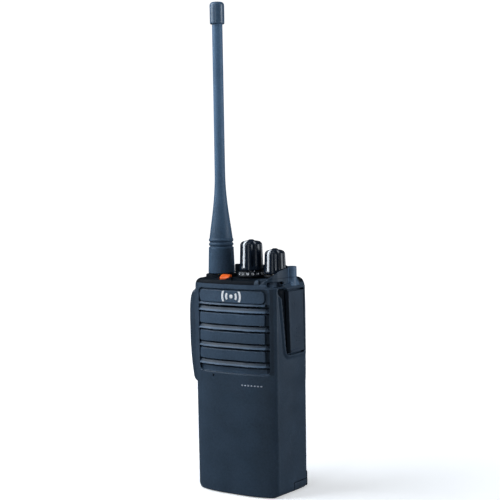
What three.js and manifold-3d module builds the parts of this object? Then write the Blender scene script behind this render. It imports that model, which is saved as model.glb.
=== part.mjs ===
// A hand-held two-way radio: housing, whip antenna, two control knobs, side keys, battery pack
// and belt clip. Millimetres, +Z up. The front faces -Y, the battery is at +Y and +X is the side with the
// accessory socket.
// The origin is the middle of the flat base that the radio stands on.
import * as THREE from 'three';
import { mergeVertices } from 'three/addons/utils/BufferGeometryUtils.js';
import Module from 'manifold-3d';

const wasm = await Module();
wasm.setup();

// ---- Driving dimensions ----
const gap = 0.3; // between neighbouring pieces
const wall = 2.2;
const frontY = -16.7;
const backY = 16.2;
const frontSweep = 5; // how far back the front face has curved at its side edges
const sweepPower = 3.2; // 2 would be a plain arc; more keeps the middle flatter
const halfWidthTop = 27;
const halfWidthBase = 26.5;
const sideFlare = 0.8; // how much further out the case's sides are at the back than at the front
const deckZ = 118.5; // the top deck that the knobs stand on
const innerHalfWidth = halfWidthTop - wall;
const cavityFloor = 2.5;
const cavityTop = deckZ - 2.3;

const controlsY = -0.8; // antenna and both knobs stand in one row
const antennaX = -16.3;
const channelX = 3.8;
const volumeX = 19.1;

const grille = { halfWidth: 23, bottom: 66.8, top: 112.8, depth: 0.9 };
const louvre = { count: 4, pitch: 9.9, top: 102.6, height: 1.6, left: -19, right: 20 };

const rightPad = {
  x: 28.2,
  frontTopY: -10.6,
  frontLowY: -5.6,
  backY: 15,
  bottom: 75.5,
  top: 113.6,
  round: 4.5,
};
const leftPad = { x: -31, frontY: -12, backY: 11, bottom: 60, top: 112 };
const coverRecess = { floorX: 26.2, inset: 1.5 };
const connectorWindow = { y0: -4, y1: 8, z0: 84, z1: 106 };

const pttKey = { y0: -7.6, y1: 5.6, z0: 86.4, z1: 109.2, outer: -32, inner: -27.8, travel: 1.2 };
const sideKeys = [
  { name: 'upper_side_key', y0: -5, y1: 3, z0: 76.9, z1: 83.1, outer: -31.4, inner: -27.5, travel: 0.6 },
  { name: 'lower_side_key', y0: -5, y1: 3, z0: 67.9, z1: 74.1, outer: -30.7, inner: -27.5, travel: 0.6 },
];

const emergency = { x0: -8.1, x1: -2.1, frontY: -14.7, backY: -11.1, bottom: 114, top: 120.3 };
const led = { x: -6.3, y: 7.2, radius: 1.5 };

const bay = { frontY: 3.2, footTop: 5.7, bottom: 6.5, top: 100.6, halfWidth: 24.4 };
const shelfZ = 101.6; // underside of the chassis shelf that roofs the battery bay

const speaker = { z: 88, radius: 17.5 };
const bossX = 19.5;
const bossZ = 109.5;

const clipScrewX = 5;
const clipScrewZ = 88.5;
const clip = { pinY: 20.9, pinZ: 97, halfWidth: 13, innerY: 23.5, outerY: 25.4, top: 118, tipZ: 46 };

// ---- Solids: three.js geometry joined and cut with manifold-3d ----
function solidFrom(geometry) {
  const bare = new THREE.BufferGeometry();
  bare.setAttribute('position', geometry.getAttribute('position'));
  if (geometry.index) bare.setIndex(geometry.index);
  const merged = mergeVertices(bare, 1e-4);
  const index = merged.index.array;
  const corners = [];
  for (let i = 0; i < index.length; i += 3) {
    const [a, b, c] = [index[i], index[i + 1], index[i + 2]];
    if (a !== b && b !== c && c !== a) corners.push(a, b, c); // a lathe has empty triangles on its axis
  }
  const made = new wasm.Manifold(
    new wasm.Mesh({
      numProp: 3,
      vertProperties: merged.attributes.position.array,
      triVerts: new Uint32Array(corners),
    }),
  );
  return made;
}

function geometryFrom(solid) {
  const mesh = solid.getMesh();
  const geometry = new THREE.BufferGeometry();
  geometry.setAttribute('position', new THREE.BufferAttribute(new Float32Array(mesh.vertProperties), 3));
  geometry.setIndex(new THREE.BufferAttribute(new Uint32Array(mesh.triVerts), 1));
  const flat = geometry.toNonIndexed();
  flat.computeVertexNormals();
  return flat;
}

function box(x0, x1, y0, y1, z0, z1) {
  const geometry = new THREE.BoxGeometry(x1 - x0, y1 - y0, z1 - z0);
  geometry.translate((x0 + x1) / 2, (y0 + y1) / 2, (z0 + z1) / 2);
  return solidFrom(geometry);
}

// A solid of revolution about a vertical axis. The profile is a list of [radius, z] that closes on itself
// or on the axis,
// listed anticlockwise in the (radius, z) plane.
function turned(profile, x, y, segments = 28) {
  const points = profile.map(([r, z]) => new THREE.Vector2(r, z));
  const first = points[0];
  const last = points[points.length - 1];
  if (first.x > 0 || last.x > 0) points.push(first.clone());
  const geometry = new THREE.LatheGeometry(points, segments);
  geometry.rotateX(Math.PI / 2);
  geometry.translate(x, y, 0);
  return solidFrom(geometry);
}

function rod(radius, z0, z1, x, y, segments = 28) {
  return turned([[0, z0], [radius, z0], [radius, z1], [0, z1]], x, y, segments);
}

function ring(inner, outer, z0, z1, x, y, segments = 28) {
  return turned([[inner, z0], [outer, z0], [outer, z1], [inner, z1]], x, y, segments);
}

// A solid of revolution about an axis along Y; profile is a list of [radius, y].
function turnedAlongY(profile, x, z, segments = 28) {
  const points = profile.map(([r, y]) => new THREE.Vector2(r, y));
  if (points[0].x > 0 || points[points.length - 1].x > 0) points.push(points[0].clone());
  const geometry = new THREE.LatheGeometry(points, segments);
  geometry.translate(x, 0, z);
  return solidFrom(geometry);
}

function outlineShape(points) {
  return new THREE.Shape(points.map(([u, v]) => new THREE.Vector2(u, v)));
}

function extruded(shape, depth, curveSegments = 5) {
  return new THREE.ExtrudeGeometry(shape, { depth, bevelEnabled: false, curveSegments });
}

function prism(points, z0, z1) {
  const geometry = extruded(outlineShape(points), z1 - z0);
  geometry.translate(0, 0, z0);
  return solidFrom(geometry);
}

// Turns (u, v, depth) into (x, y, z) with u along Y, v along Z and depth along X.
const alongX = new THREE.Matrix4().makeBasis(
  new THREE.Vector3(0, 1, 0),
  new THREE.Vector3(0, 0, 1),
  new THREE.Vector3(1, 0, 0),
);
// The same with u along Z, v along X and depth along Y.
const alongY = new THREE.Matrix4().makeBasis(
  new THREE.Vector3(0, 0, 1),
  new THREE.Vector3(1, 0, 0),
  new THREE.Vector3(0, 1, 0),
);

function profileAlongX(shape, x0, x1) {
  const geometry = extruded(shape, x1 - x0);
  geometry.applyMatrix4(alongX);
  geometry.translate(x0, 0, 0);
  return solidFrom(geometry);
}

function profileAlongY(shape, y0, y1) {
  const geometry = extruded(shape, y1 - y0);
  geometry.applyMatrix4(alongY);
  geometry.translate(0, y0, 0);
  return solidFrom(geometry);
}

function roundedRectangle(u0, u1, v0, v1, radius) {
  const shape = new THREE.Shape();
  shape.moveTo(u0 + radius, v0);
  shape.lineTo(u1 - radius, v0);
  shape.absarc(u1 - radius, v0 + radius, radius, -Math.PI / 2, 0);
  shape.lineTo(u1, v1 - radius);
  shape.absarc(u1 - radius, v1 - radius, radius, 0, Math.PI / 2);
  shape.lineTo(u0 + radius, v1);
  shape.absarc(u0 + radius, v1 - radius, radius, Math.PI / 2, Math.PI);
  shape.lineTo(u0, v0 + radius);
  shape.absarc(u0 + radius, v0 + radius, radius, Math.PI, 1.5 * Math.PI);
  return shape;
}

function union(...solids) {
  return solids.reduce((a, b) => a.add(b));
}

function cut(solid, ...tools) {
  return tools.reduce((a, b) => a.subtract(b), solid);
}

// ---- The body's outer form ----
// The plan outline: a front face that sweeps back to an edge at each side, flat sides and round rear corners.
function planOutline(halfWidth, front, back, cornerRadius = 2.5) {
  const frontSteps = 16;
  const cornerSteps = 3;
  const points = [];
  for (let i = 0; i <= frontSteps; i++) {
    const t = (2 * i) / frontSteps - 1;
    points.push([t * halfWidth, front + frontSweep * Math.abs(t) ** sweepPower]);
  }
  for (const side of [1, -1]) {
    for (let i = 0; i <= cornerSteps; i++) {
      const turn = (Math.PI / 2) * (side > 0 ? i / cornerSteps : 1 - i / cornerSteps);
      const x = side * (halfWidth + sideFlare - cornerRadius + cornerRadius * Math.cos(turn));
      points.push([x, back - cornerRadius + cornerRadius * Math.sin(turn)]);
    }
  }
  return points;
}

// How far a rounded edge of this radius has drawn the face in, at a distance from the edge's plane.
function edgeInset(distance, radius) {
  return distance >= radius ? 0 : radius - Math.sqrt(radius ** 2 - (radius - distance) ** 2);
}

function bodyHalfWidth(z) {
  return THREE.MathUtils.lerp(halfWidthBase, halfWidthTop, z / deckZ);
}

// Rings of the plan outline at rising heights, joined into one closed skin.
function bodyForm() {
  const sideRound = { base: 4, top: 5 };
  const frontRound = { base: 0.8, top: 3.5 };
  const backRound = { base: 0.8, top: 2 };
  const heights = [0, 0.3, 1.2, 2.5, 4, 113.5, 115, 116.2, 117.2, 118, 118.4, deckZ];
  const rings = heights.map((z) => {
    const inset = (round) => edgeInset(z, round.base) + edgeInset(deckZ - z, round.top);
    const halfWidth = bodyHalfWidth(z) - inset(sideRound);
    return planOutline(halfWidth, frontY + inset(frontRound), backY - inset(backRound));
  });
  const count = rings[0].length;
  const positions = rings.flatMap((outline, k) => outline.flatMap(([x, y]) => [x, y, heights[k]]));
  positions.push(0, 0, 0, 0, 0, deckZ);
  const baseCentre = rings.length * count;
  const index = [];
  for (let i = 0; i < count; i++) {
    const next = (i + 1) % count;
    for (let k = 0; k + 1 < rings.length; k++) {
      const [a, b, c, d] = [k * count + i, k * count + next, (k + 1) * count + next, (k + 1) * count + i];
      index.push(a, b, c, a, c, d);
    }
    const last = (rings.length - 1) * count;
    index.push(baseCentre, next, i, baseCentre + 1, last + i, last + next);
  }
  const geometry = new THREE.BufferGeometry();
  geometry.setAttribute('position', new THREE.BufferAttribute(new Float32Array(positions), 3));
  geometry.setIndex(index);
  return solidFrom(geometry);
}

const outerForm = bodyForm();

// The plan outline at the deck, drawn in by inset all round.
function deckPrism(inset, z0, z1, back = backY - inset) {
  return prism(planOutline(halfWidthTop - inset, frontY + inset, back), z0, z1);
}

// ---- Front housing ----
function grillePanel() {
  const { halfWidth, bottom, top, depth } = grille;
  const outline = roundedRectangle(bottom, top, -halfWidth, halfWidth, 3);
  const slab = profileAlongY(outline, frontY - 2, frontY + 6);
  return slab.subtract(deckPrism(depth, bottom - 1, top + 1));
}

function louvreSlots() {
  const slots = Array.from({ length: louvre.count }, (_, i) => {
    const z = louvre.top - i * louvre.pitch;
    const half = louvre.height / 2;
    return box(louvre.left, louvre.right, frontY - 1, frontY + 5, z - half, z + half);
  });
  return union(...slots);
}

// The pad on the left side that carries the keys: full depth at the top, fading out below.
function leftKeyPad() {
  const { x, frontY: front, backY: back, bottom, top } = leftPad;
  const inside = -halfWidthTop + 2;
  const shape = outlineShape([
    [bottom, inside],
    [bottom, -halfWidthTop + 0.3],
    [bottom + 3, x + 2.1],
    [bottom + 9, x + 1.2],
    [bottom + 22, x + 0.2],
    [top - 17, x],
    [top - 8, x + 0.4],
    [top - 4, x + 1],
    [top - 2, x + 2],
    [top, x + 3.8],
    [top, inside],
  ]);
  return profileAlongY(shape, front, back);
}

// The outline that the right pad, the recess in it and the accessory cover share. Its front edge leans.
function sidePanelShape(inset) {
  const { frontTopY, frontLowY, backY: back, bottom, top, round } = rightPad;
  const low = bottom + inset;
  const high = top - inset;
  const corner = round - inset;
  const shape = new THREE.Shape();
  shape.moveTo(frontTopY + inset + 1.6, high);
  shape.quadraticCurveTo(frontTopY + inset, high, frontTopY + inset + 0.4, high - 2.4);
  shape.lineTo(frontLowY + inset, low + corner);
  shape.quadraticCurveTo(frontLowY + inset + 0.3, low, frontLowY + inset + corner, low);
  shape.lineTo(back - inset - 1.2, low);
  shape.quadraticCurveTo(back - inset, low, back - inset, low + 1.2);
  shape.lineTo(back - inset, high - 1.2);
  shape.quadraticCurveTo(back - inset, high, back - inset - 1.2, high);
  return shape;
}

function rightSidePad() {
  return profileAlongX(sidePanelShape(0), halfWidthTop - 2, rightPad.x);
}

function keyPocket({ y0, y1, z0, z1, inner, travel }) {
  const pocket = box(leftPad.x - 3, inner + travel + 0.2, y0 - gap, y1 + gap, z0 - gap, z1 + gap);
  const midZ = (z0 + z1) / 2;
  const stemHole = box(leftPad.x, -innerHalfWidth + 2, -3.3, 1.3, midZ - 2.3, midZ + 2.3);
  return union(pocket, stemHole);
}

// The line of the guard wall in plan, from its foot at the front round the volume knob to the post.
// A positive shift moves it towards the knob.
function guardPath(shift) {
  const line = [
    [16.6, -14.9],
    [20.5, -13.5],
    [23.6, -11.2],
    [25.2, -8.2],
    [25.75, -4.5],
    [25.85, -1],
    [25.5, 1.6],
    [24.9, 3.9],
  ];
  return line.map(([x, y]) => {
    const reach = Math.hypot(x - volumeX, y - controlsY);
    return [x - ((x - volumeX) * shift) / reach, y - ((y - controlsY) * shift) / reach];
  });
}

// An upright wall that follows a line in plan.
function wallAlong(path, thickness, z0, z1) {
  const sides = [[], []];
  path.forEach(([x, y], i) => {
    const [x0, y0] = path[Math.max(i - 1, 0)];
    const [x1, y1] = path[Math.min(i + 1, path.length - 1)];
    const length = Math.hypot(x1 - x0, y1 - y0);
    const [nx, ny] = [(y1 - y0) / length, (x0 - x1) / length];
    sides[0].push([x + (nx * thickness) / 2, y + (ny * thickness) / 2]);
    sides[1].unshift([x - (nx * thickness) / 2, y - (ny * thickness) / 2]);
  });
  return prism([...sides[0], ...sides[1]], z0, z1);
}

// The wall round the front right corner of the deck. It climbs to a post and leaves an eyelet for a strap.
function knobGuard() {
  const wall = wallAlong(guardPath(0), 0.9, 112, 124);
  const slope = new THREE.BoxGeometry(40, 20, 40);
  slope.translate(0, 0, 20);
  slope.rotateY(-Math.atan2(7.6, 10.5)); // the top edge climbs along the corner
  slope.rotateZ(Math.atan2(6.5, 9));
  slope.translate(16, -14.3, 116.6);
  const post = turned([[0, 112], [3, 112], [2.85, 124.3], [0, 124.3]], 25.1, 6.1, 32);
  return cut(wall, solidFrom(slope)).add(post);
}

// A low fence that keeps a finger from sliding on to the emergency button; it is higher at its right end.
function buttonFence() {
  const { x0, x1, frontY: face } = emergency;
  const outline = outlineShape([[114, x0 + 1.5], [114, x1 + 3], [119.3, x1 + 3], [117.3, x0 + 1.5]]);
  return profileAlongY(outline, face - 1.3, face - 0.35);
}

function strapEyelet() {
  const floor = 115.4;
  const bridgeUnderside = 118;
  const around = box(18.5, 30, frontY - 1, -4.6, 110, 130);
  const under = deckPrism(-1, floor, bridgeUnderside).subtract(deckPrism(3.6, 110, 130));
  const behind = wallAlong(guardPath(1.5), 1.6, floor, 130);
  return union(under, behind).intersect(around);
}

function housingCavity() {
  const inside = prism(planOutline(innerHalfWidth, frontY + wall, backY + 12, 1), cavityFloor, cavityTop);
  const eyeletBlock = box(18, 30, -20, -4, 112.6, 130); // stays solid under the strap eyelet
  return cut(inside, eyeletBlock);
}

function screwBoss(x) {
  const boss = turnedAlongY([[0, 13.5], [3.2, 13.5], [3.2, 5], [0, 5]].reverse(), x, bossZ, 16);
  return boss.add(box(x - 1.5, x + 1.5, 5, 13.5, bossZ, cavityTop + 1));
}

function frontHousing() {
  let body = union(outerForm, leftKeyPad(), rightSidePad(), knobGuard(), buttonFence());
  body = body.add(ring(4.7, 8.8, deckZ - 1, 119.6, antennaX, controlsY, 32));
  body = body.add(box(-17, 17, 12.8, 15.4, deckZ - 1, 123.9));
  body = cut(body, housingCavity(), grillePanel(), louvreSlots(), strapEyelet());
  body = union(body, screwBoss(bossX), screwBoss(-bossX));
  const { floorX, inset } = coverRecess;
  const window = connectorWindow;
  const everyKey = [pttKey, ...sideKeys];
  body = cut(
    body,
    profileAlongX(sidePanelShape(inset), floorX, floorX + 5),
    box(innerHalfWidth - 2, floorX + 1, window.y0, window.y1, window.z0, window.z1),
    box(-40, 40, bay.frontY - gap, 40, -1, bay.footTop + 0.4),
    rod(4.7, 110, 125, antennaX, controlsY),
    rod(3.75, 110, 122, channelX, controlsY),
    rod(3.75, 110, 122, volumeX, controlsY),
    rod(led.radius + gap, 110, 122, led.x, led.y, 16),
    box(emergency.x0 - gap, emergency.x1 + gap, emergency.frontY - gap, emergency.backY + gap, 113, 125),
    turnedAlongY([[0, 20], [1.6, 20], [1.6, 6], [0, 6]].reverse(), bossX, bossZ, 12),
    turnedAlongY([[0, 20], [1.6, 20], [1.6, 6], [0, 6]].reverse(), -bossX, bossZ, 12),
    turnedAlongY([[0, -10], [0.6, -10], [0.6, -20], [0, -20]].reverse(), -12, 65.2, 10),
    ...everyKey.map(keyPocket),
  );
  return body;
}

// ---- Chassis and what is mounted on it ----
function chassis() {
  const plate = box(-21.8, 21.8, 0.2, 2.5, 3, shelfZ + 2);
  const rear = outlineShape([
    [0.2, shelfZ],
    [16, shelfZ],
    [16, 115.8],
    [13.9, 115.8],
    [13.9, shelfZ + 2],
    [0.2, shelfZ + 2],
  ]);
  let body = union(plate, profileAlongX(rear, -24.4, 24.4));
  for (const x of [-bossX, bossX]) {
    body = cut(
      body,
      turnedAlongY([[0, 12], [1.6, 12], [1.6, 18], [0, 18]], x, bossZ, 16),
      turnedAlongY([[0, 14.9], [2.9, 14.9], [2.9, 18], [0, 18]], x, bossZ, 20),
    );
  }
  return body;
}

function chassisScrew(x) {
  return turnedAlongY([[0, 7], [1.3, 7], [1.3, 15.2], [2.6, 15.2], [2.6, 16.1], [0, 16.1]], x, bossZ, 20);
}

function speakerFrame() {
  const r = speaker.radius;
  const back = [[14.5, -12.4], [r, -12.4], [r, -10.6], [r - 1, -10.4]];
  const profile = [...back, [11, -6.4], [9.2, -6.4], [9.2, -7.4], [14.5, -11.2]];
  return turnedAlongY(profile, 0, speaker.z, 32);
}

function speakerCone() {
  const profile = [[0, -9.4], [4, -8.9], [13.9, -12.1], [13.9, -11.6], [4, -8.3], [0, -8.6]];
  return turnedAlongY(profile, 0, speaker.z, 24);
}

// A rotary control under the deck: a square body with a bushing that carries the shaft up through the deck.
function rotaryControl(x, halfSize, bodyTop, bushingTop) {
  const body = box(x - halfSize, x + halfSize, controlsY - halfSize, controlsY + halfSize, 108, bodyTop);
  const bushing = rod(3.4, bodyTop - 1, bushingTop, x, controlsY, 24);
  return cut(union(body, bushing), rod(2.3, 109.4, bushingTop + 1, x, controlsY, 20));
}

function keyWithStem({ y0, y1, z0, z1, outer, inner, travel }) {
  const switchFaceX = -23.2;
  const crown = 0.7; // the key's edge is lower than its middle
  const cap = profileAlongY(
    outlineShape([
      [z0, inner],
      [z0, outer + crown],
      [z0 + 1.2, outer],
      [z1 - 1.2, outer],
      [z1, outer + crown],
      [z1, inner],
    ]),
    y0,
    y1,
  );
  const midZ = (z0 + z1) / 2;
  return cap.add(box(inner - 0.5, switchFaceX - travel, -3, 1, midZ - 2, midZ + 2));
}

// ---- Antenna ----
function antennaSheath() {
  const outer = [
    [7.4, 119.9], [7.35, 122], [7, 133], [6.75, 134.2], [6.3, 134.6], [6.3, 135.2], [6.75, 135.6],
    [6.75, 136.4],
    [6.3, 136.8], [6.3, 137.4], [6.75, 137.8], [6.6, 139], [6.3, 141],
  ];
  const flareTop = 172;
  const flareSteps = 10;
  for (let i = 1; i <= flareSteps; i++) {
    const t = i / flareSteps;
    const ease = (1 + Math.cos(Math.PI * t)) / 2;
    outer.push([2.95 + (6.3 - 2.95) * ease ** 1.2, THREE.MathUtils.lerp(141, flareTop, t)]);
  }
  outer.push([2.9, 262.8]);
  const inner = [[1.4, 262.8], [1.4, 129.2], [2.85, 129.2], [2.85, 121.3], [5.6, 121.3], [5.6, 119.9]];
  return turned([...outer, ...inner], antennaX, controlsY, 28);
}

function antennaCap() {
  const outside = [[3.2, 257], [3.8, 257], [4.05, 257.6], [4.05, 267.8], [3.5, 268.8], [0, 269]];
  const profile = [...outside, [0, 263.2], [3.2, 263.2]];
  return turned(profile, antennaX, controlsY, 28);
}

// ---- Knobs ----
const flutes = 8;
// A knob with shallow finger flutes, a domed crown and a blind bore for its shaft.
function knob(x, bottomZ, topZ, radius) {
  const skirt = 1.6;
  const levels = [0, 0.02, 0.08, 0.5, 0.86, 0.95, 1];
  const drawIn = [0, 0, 0, 0.15, 0.4, 0.85, 2.4];
  const steps = flutes * 6;
  const positions = [];
  levels.forEach((level, k) => {
    const z = THREE.MathUtils.lerp(bottomZ, topZ, level);
    const fluteDepth = level > 0.05 ? 0.45 : 0;
    for (let i = 0; i < steps; i++) {
      const turn = (2 * Math.PI * i) / steps;
      const dip = Math.max(0, Math.cos(flutes * turn)) * fluteDepth;
      const r = radius - drawIn[k] - dip;
      positions.push(x + r * Math.cos(turn), controlsY + r * Math.sin(turn), z);
    }
  });
  positions.push(x, controlsY, bottomZ, x, controlsY, topZ);
  const centre = levels.length * steps;
  const index = [];
  for (let i = 0; i < steps; i++) {
    const next = (i + 1) % steps;
    for (let k = 0; k + 1 < levels.length; k++) {
      const [a, b, c, d] = [k * steps + i, k * steps + next, (k + 1) * steps + next, (k + 1) * steps + i];
      index.push(a, b, c, a, c, d);
    }
    const last = (levels.length - 1) * steps;
    index.push(centre, next, i, centre + 1, last + i, last + next);
  }
  const geometry = new THREE.BufferGeometry();
  geometry.setAttribute('position', new THREE.BufferAttribute(new Float32Array(positions), 3));
  geometry.setIndex(index);
  const bore = rod(2.3, bottomZ - 1, topZ - 4, x, controlsY, 20);
  const face = controlsY - radius;
  const pointerSlot = box(x - 0.85, x + 0.85, face - 1, face + 0.9, bottomZ + skirt, topZ + 1);
  return cut(solidFrom(geometry), bore, pointerSlot);
}

function knobPointer(x, bottomZ, topZ, radius) {
  const y = controlsY - radius;
  const shape = outlineShape([
    [y + 0.15, bottomZ + 1.9],
    [y + 0.6, bottomZ + 1.9],
    [y + 0.6, topZ - 2.6],
    [y + 0.5, topZ - 2.6],
  ]);
  return profileAlongX(shape, x - 0.55, x + 0.55);
}

const channelKnob = { bottomZ: 122, topZ: 138.9, radius: 6.5 };
const volumeKnob = { bottomZ: 120.5, topZ: 134.3, radius: 6 };

// ---- Battery pack ----
function batteryCase() {
  const block = box(-bay.halfWidth, bay.halfWidth, 5, backY, bay.footTop - 1, bay.top);
  const foot = outerForm.intersect(box(-40, 40, bay.frontY, 40, -1, bay.footTop));
  return cut(
    union(block, foot),
    box(-22.6, 22.6, 0, 14.4, 8.6, 98.6),
    box(-7.4, 7.4, 6, 12, 98, 102),
    box(-2.2, 2.2, 13.2, 17, 1.6, 8.2),
    clipScrewHole(-clipScrewX, 14.9),
    clipScrewHole(clipScrewX, 14.9),
  );
}

function clipScrewHole(x, innerEnd) {
  return turnedAlongY([[0, innerEnd], [1.3, innerEnd], [1.3, 20], [0, 20]], x, clipScrewZ, 14);
}

function batteryLatch() {
  const bar = profileAlongX(roundedRectangle(16.5, 18.4, 1.2, 9.6, 0.8), -26.3, 26.3);
  return bar.add(box(-1.6, 1.6, 13.9, 17, 2, 2.9));
}

class Helix extends THREE.Curve {
  constructor(radius, height, turns) {
    super();
    Object.assign(this, { radius, height, turns });
  }

  getPoint(t, target = new THREE.Vector3()) {
    const turn = 2 * Math.PI * this.turns * t;
    return target.set(this.radius * Math.cos(turn), this.radius * Math.sin(turn), this.height * t);
  }
}

function coil(radius, height, turns, wire) {
  const section = new THREE.Shape();
  section.absarc(0, 0, wire, 0, 2 * Math.PI);
  return new THREE.ExtrudeGeometry(section, {
    extrudePath: new Helix(radius, height, turns),
    steps: Math.round(turns * 12),
    curveSegments: 6,
    bevelEnabled: false,
  });
}

function latchSpring() {
  const geometry = coil(1.1, 4.2, 4, 0.25);
  geometry.translate(0, 15, 3.5);
  return solidFrom(geometry);
}

// ---- Belt clip ----
function clipBracket() {
  const plate = profileAlongX(roundedRectangle(16.5, 18.2, 84, 100, 0.6), -11, 11);
  const ear = (x0, x1) => profileAlongX(roundedRectangle(16.6, 23.1, 93.6, 100, 1.8), x0, x1);
  const pinHole = new THREE.CylinderGeometry(1.35, 1.35, 40, 20);
  pinHole.rotateZ(Math.PI / 2);
  pinHole.translate(0, clip.pinY, clip.pinZ);
  const screwHoles = [-clipScrewX, clipScrewX].map((x) => clipScrewHole(x, 10));
  return cut(union(plate, ear(-11, -8.6), ear(8.6, 11)), solidFrom(pinHole), ...screwHoles);
}

function clipScrew(x) {
  const profile = [[0, 15.1], [1, 15.1], [1, 18.5], [2.1, 18.5], [1.6, 19.5], [0, 19.5]];
  return turnedAlongY(profile, x, clipScrewZ, 16);
}

function clipPin() {
  const pin = new THREE.CylinderGeometry(1.05, 1.05, 22.8, 20);
  pin.rotateZ(Math.PI / 2);
  pin.translate(0, clip.pinY, clip.pinZ);
  return solidFrom(pin);
}

function clipSpring() {
  const geometry = coil(1.95, 7, 6, 0.4);
  geometry.rotateY(Math.PI / 2);
  geometry.translate(-3.5, clip.pinY, clip.pinZ);
  return solidFrom(geometry);
}

function clipLever() {
  const { innerY, outerY, top, tipZ, halfWidth, pinY, pinZ } = clip;
  const shape = new THREE.Shape();
  shape.moveTo(innerY + 0.5, top);
  shape.lineTo(innerY, top - 1);
  shape.lineTo(innerY, tipZ + 12);
  shape.quadraticCurveTo(innerY, tipZ + 3.4, 17.6, tipZ + 2.6);
  shape.absarc(17.7, tipZ + 1.4, 1.2, Math.PI / 2, 1.5 * Math.PI);
  shape.quadraticCurveTo(outerY, tipZ + 1, outerY, tipZ + 12);
  shape.lineTo(outerY, top - 1);
  shape.lineTo(outerY - 0.5, top);
  const plate = profileAlongX(shape, -halfWidth, halfWidth);
  const knuckle = (x0, x1) => {
    const drum = new THREE.CylinderGeometry(2.5, 2.5, x1 - x0, 20);
    drum.rotateZ(Math.PI / 2);
    drum.translate((x0 + x1) / 2, pinY, pinZ);
    return solidFrom(drum).add(box(x0, x1, pinY, innerY + 0.5, pinZ - 2.3, pinZ + 2.3));
  };
  const pinHole = new THREE.CylinderGeometry(1.35, 1.35, 60, 20);
  pinHole.rotateZ(Math.PI / 2);
  pinHole.translate(0, pinY, pinZ);
  return cut(union(plate, knuckle(-8.2, -4.3), knuckle(4.3, 8.2)), solidFrom(pinHole));
}

// ---- Materials ----
function material(color, roughness, metalness = 0) {
  return new THREE.MeshStandardMaterial({ color, roughness, metalness });
}

const housingPlastic = material(0x2c343c, 0.55);
const glossPlastic = material(0x0c1014, 0.15);
const blackPlastic = material(0x101418, 0.5);
const rubber = material(0x262d35, 0.75);
const orangeRubber = material(0xf2641e, 0.5);
const whitePaint = material(0xe9ebee, 0.4);
const castMetal = material(0x8f9398, 0.5, 0.9);
const steel = material(0xb5b8bc, 0.35, 1);
const brass = material(0xc9a44c, 0.35, 1);
const boardGreen = material(0x1d5a35, 0.6);
const cellWrap = material(0x3a5f8a, 0.5);
const paper = material(0x1b1b1d, 0.95);
const clearLens = material(0xb9c4c0, 0.1);

// ---- The assembly ----
const radio = new THREE.Group();

function addPart(name, solid, finish) {
  const mesh = new THREE.Mesh(geometryFrom(solid), finish);
  mesh.name = name;
  radio.add(mesh);
}

addPart('front_housing', frontHousing(), housingPlastic);
addPart('chassis', chassis(), castMetal);
addPart('chassis_screw_left', chassisScrew(-bossX), steel);
addPart('chassis_screw_right', chassisScrew(bossX), steel);
addPart('main_board', box(-21.8, 21.8, -3.6, -2.2, 5, 106), boardGreen);
addPart('rf_shield', box(-17, 17, -1.9, -0.1, 20, 90), steel);
addPart('speaker_felt', box(-16, 16, -13.1, -12.8, 69.5, 106.5), paper);
addPart('speaker_frame', speakerFrame(), castMetal);
addPart('speaker_cone', speakerCone(), paper);
const magnetProfile = [[0, -6.1], [8.8, -6.1], [8.8, -4], [0, -4]];
addPart('speaker_magnet', turnedAlongY(magnetProfile, 0, speaker.z, 24), steel);
addPart('microphone', turnedAlongY([[0, -13], [2.7, -13], [2.7, -10.4], [0, -10.4]], -12, 65.2, 18), steel);
addPart(
  'accessory_connector',
  box(innerHalfWidth + 0.1, coverRecess.floorX - 0.1, -3.7, 7.7, 84.3, 105.7),
  blackPlastic,
);
addPart('ptt_switch_board', box(-23, -22.2, -6, -0.2, 66, 108), boardGreen);
addPart('emergency_switch', box(-7.5, -2.7, -13.8, -10.6, 108, 112.6), blackPlastic);
addPart('led_lens', rod(led.radius, 116.4, 118.9, led.x, led.y, 16), clearLens);
addPart('battery_terminals', box(-7, 7, 6, 12, 100.9, 101.3), brass);

addPart(
  'antenna_socket',
  turned(
    [[2.9, 110], [5.4, 110], [5.4, 115.9], [4.4, 115.9], [4.4, 119.2], [2.9, 119.2]],
    antennaX,
    controlsY,
  ),
  brass,
);
addPart('channel_encoder', rotaryControl(channelX, 6, 115.9, 120.4), blackPlastic);
addPart('channel_nut', ring(3.7, 5.2, 118.8, 120.4, channelX, controlsY, 24), brass);
addPart(
  'channel_dial',
  turned([[5.6, 118.8], [7.6, 118.8], [7.6, 119.3], [6.9, 121.5], [5.6, 121.5]], channelX, controlsY, 32),
  blackPlastic,
);
addPart('volume_control', rotaryControl(volumeX, 5.2, 112.3, 119.9), blackPlastic);
addPart('volume_nut', ring(3.7, 5, 118.8, 119.9, volumeX, controlsY, 24), brass);
addPart('volume_dial', ring(5.3, 6.05, 118.8, 120, volumeX, controlsY, 32), blackPlastic);

addPart('antenna_sheath', antennaSheath(), rubber);
addPart('antenna_cap', antennaCap(), glossPlastic);
addPart('antenna_core', rod(1.1, 129.5, 262.6, antennaX, controlsY, 10), steel);
addPart('antenna_stud', rod(2.5, 111, 128.9, antennaX, controlsY, 20), brass);
addPart('antenna_gasket', ring(3.2, 5.3, 120.1, 121, antennaX, controlsY, 20), rubber);

for (const [name, x, size] of [['channel', channelX, channelKnob], ['volume', volumeX, volumeKnob]]) {
  const { bottomZ, topZ, radius } = size;
  addPart(`${name}_knob`, knob(x, bottomZ, topZ, radius), glossPlastic);
  addPart(`${name}_pointer`, knobPointer(x, bottomZ, topZ, radius), whitePaint);
  addPart(`${name}_shaft`, rod(2, 109.8, topZ - 4.4, x, controlsY, 16), steel);
}

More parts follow.
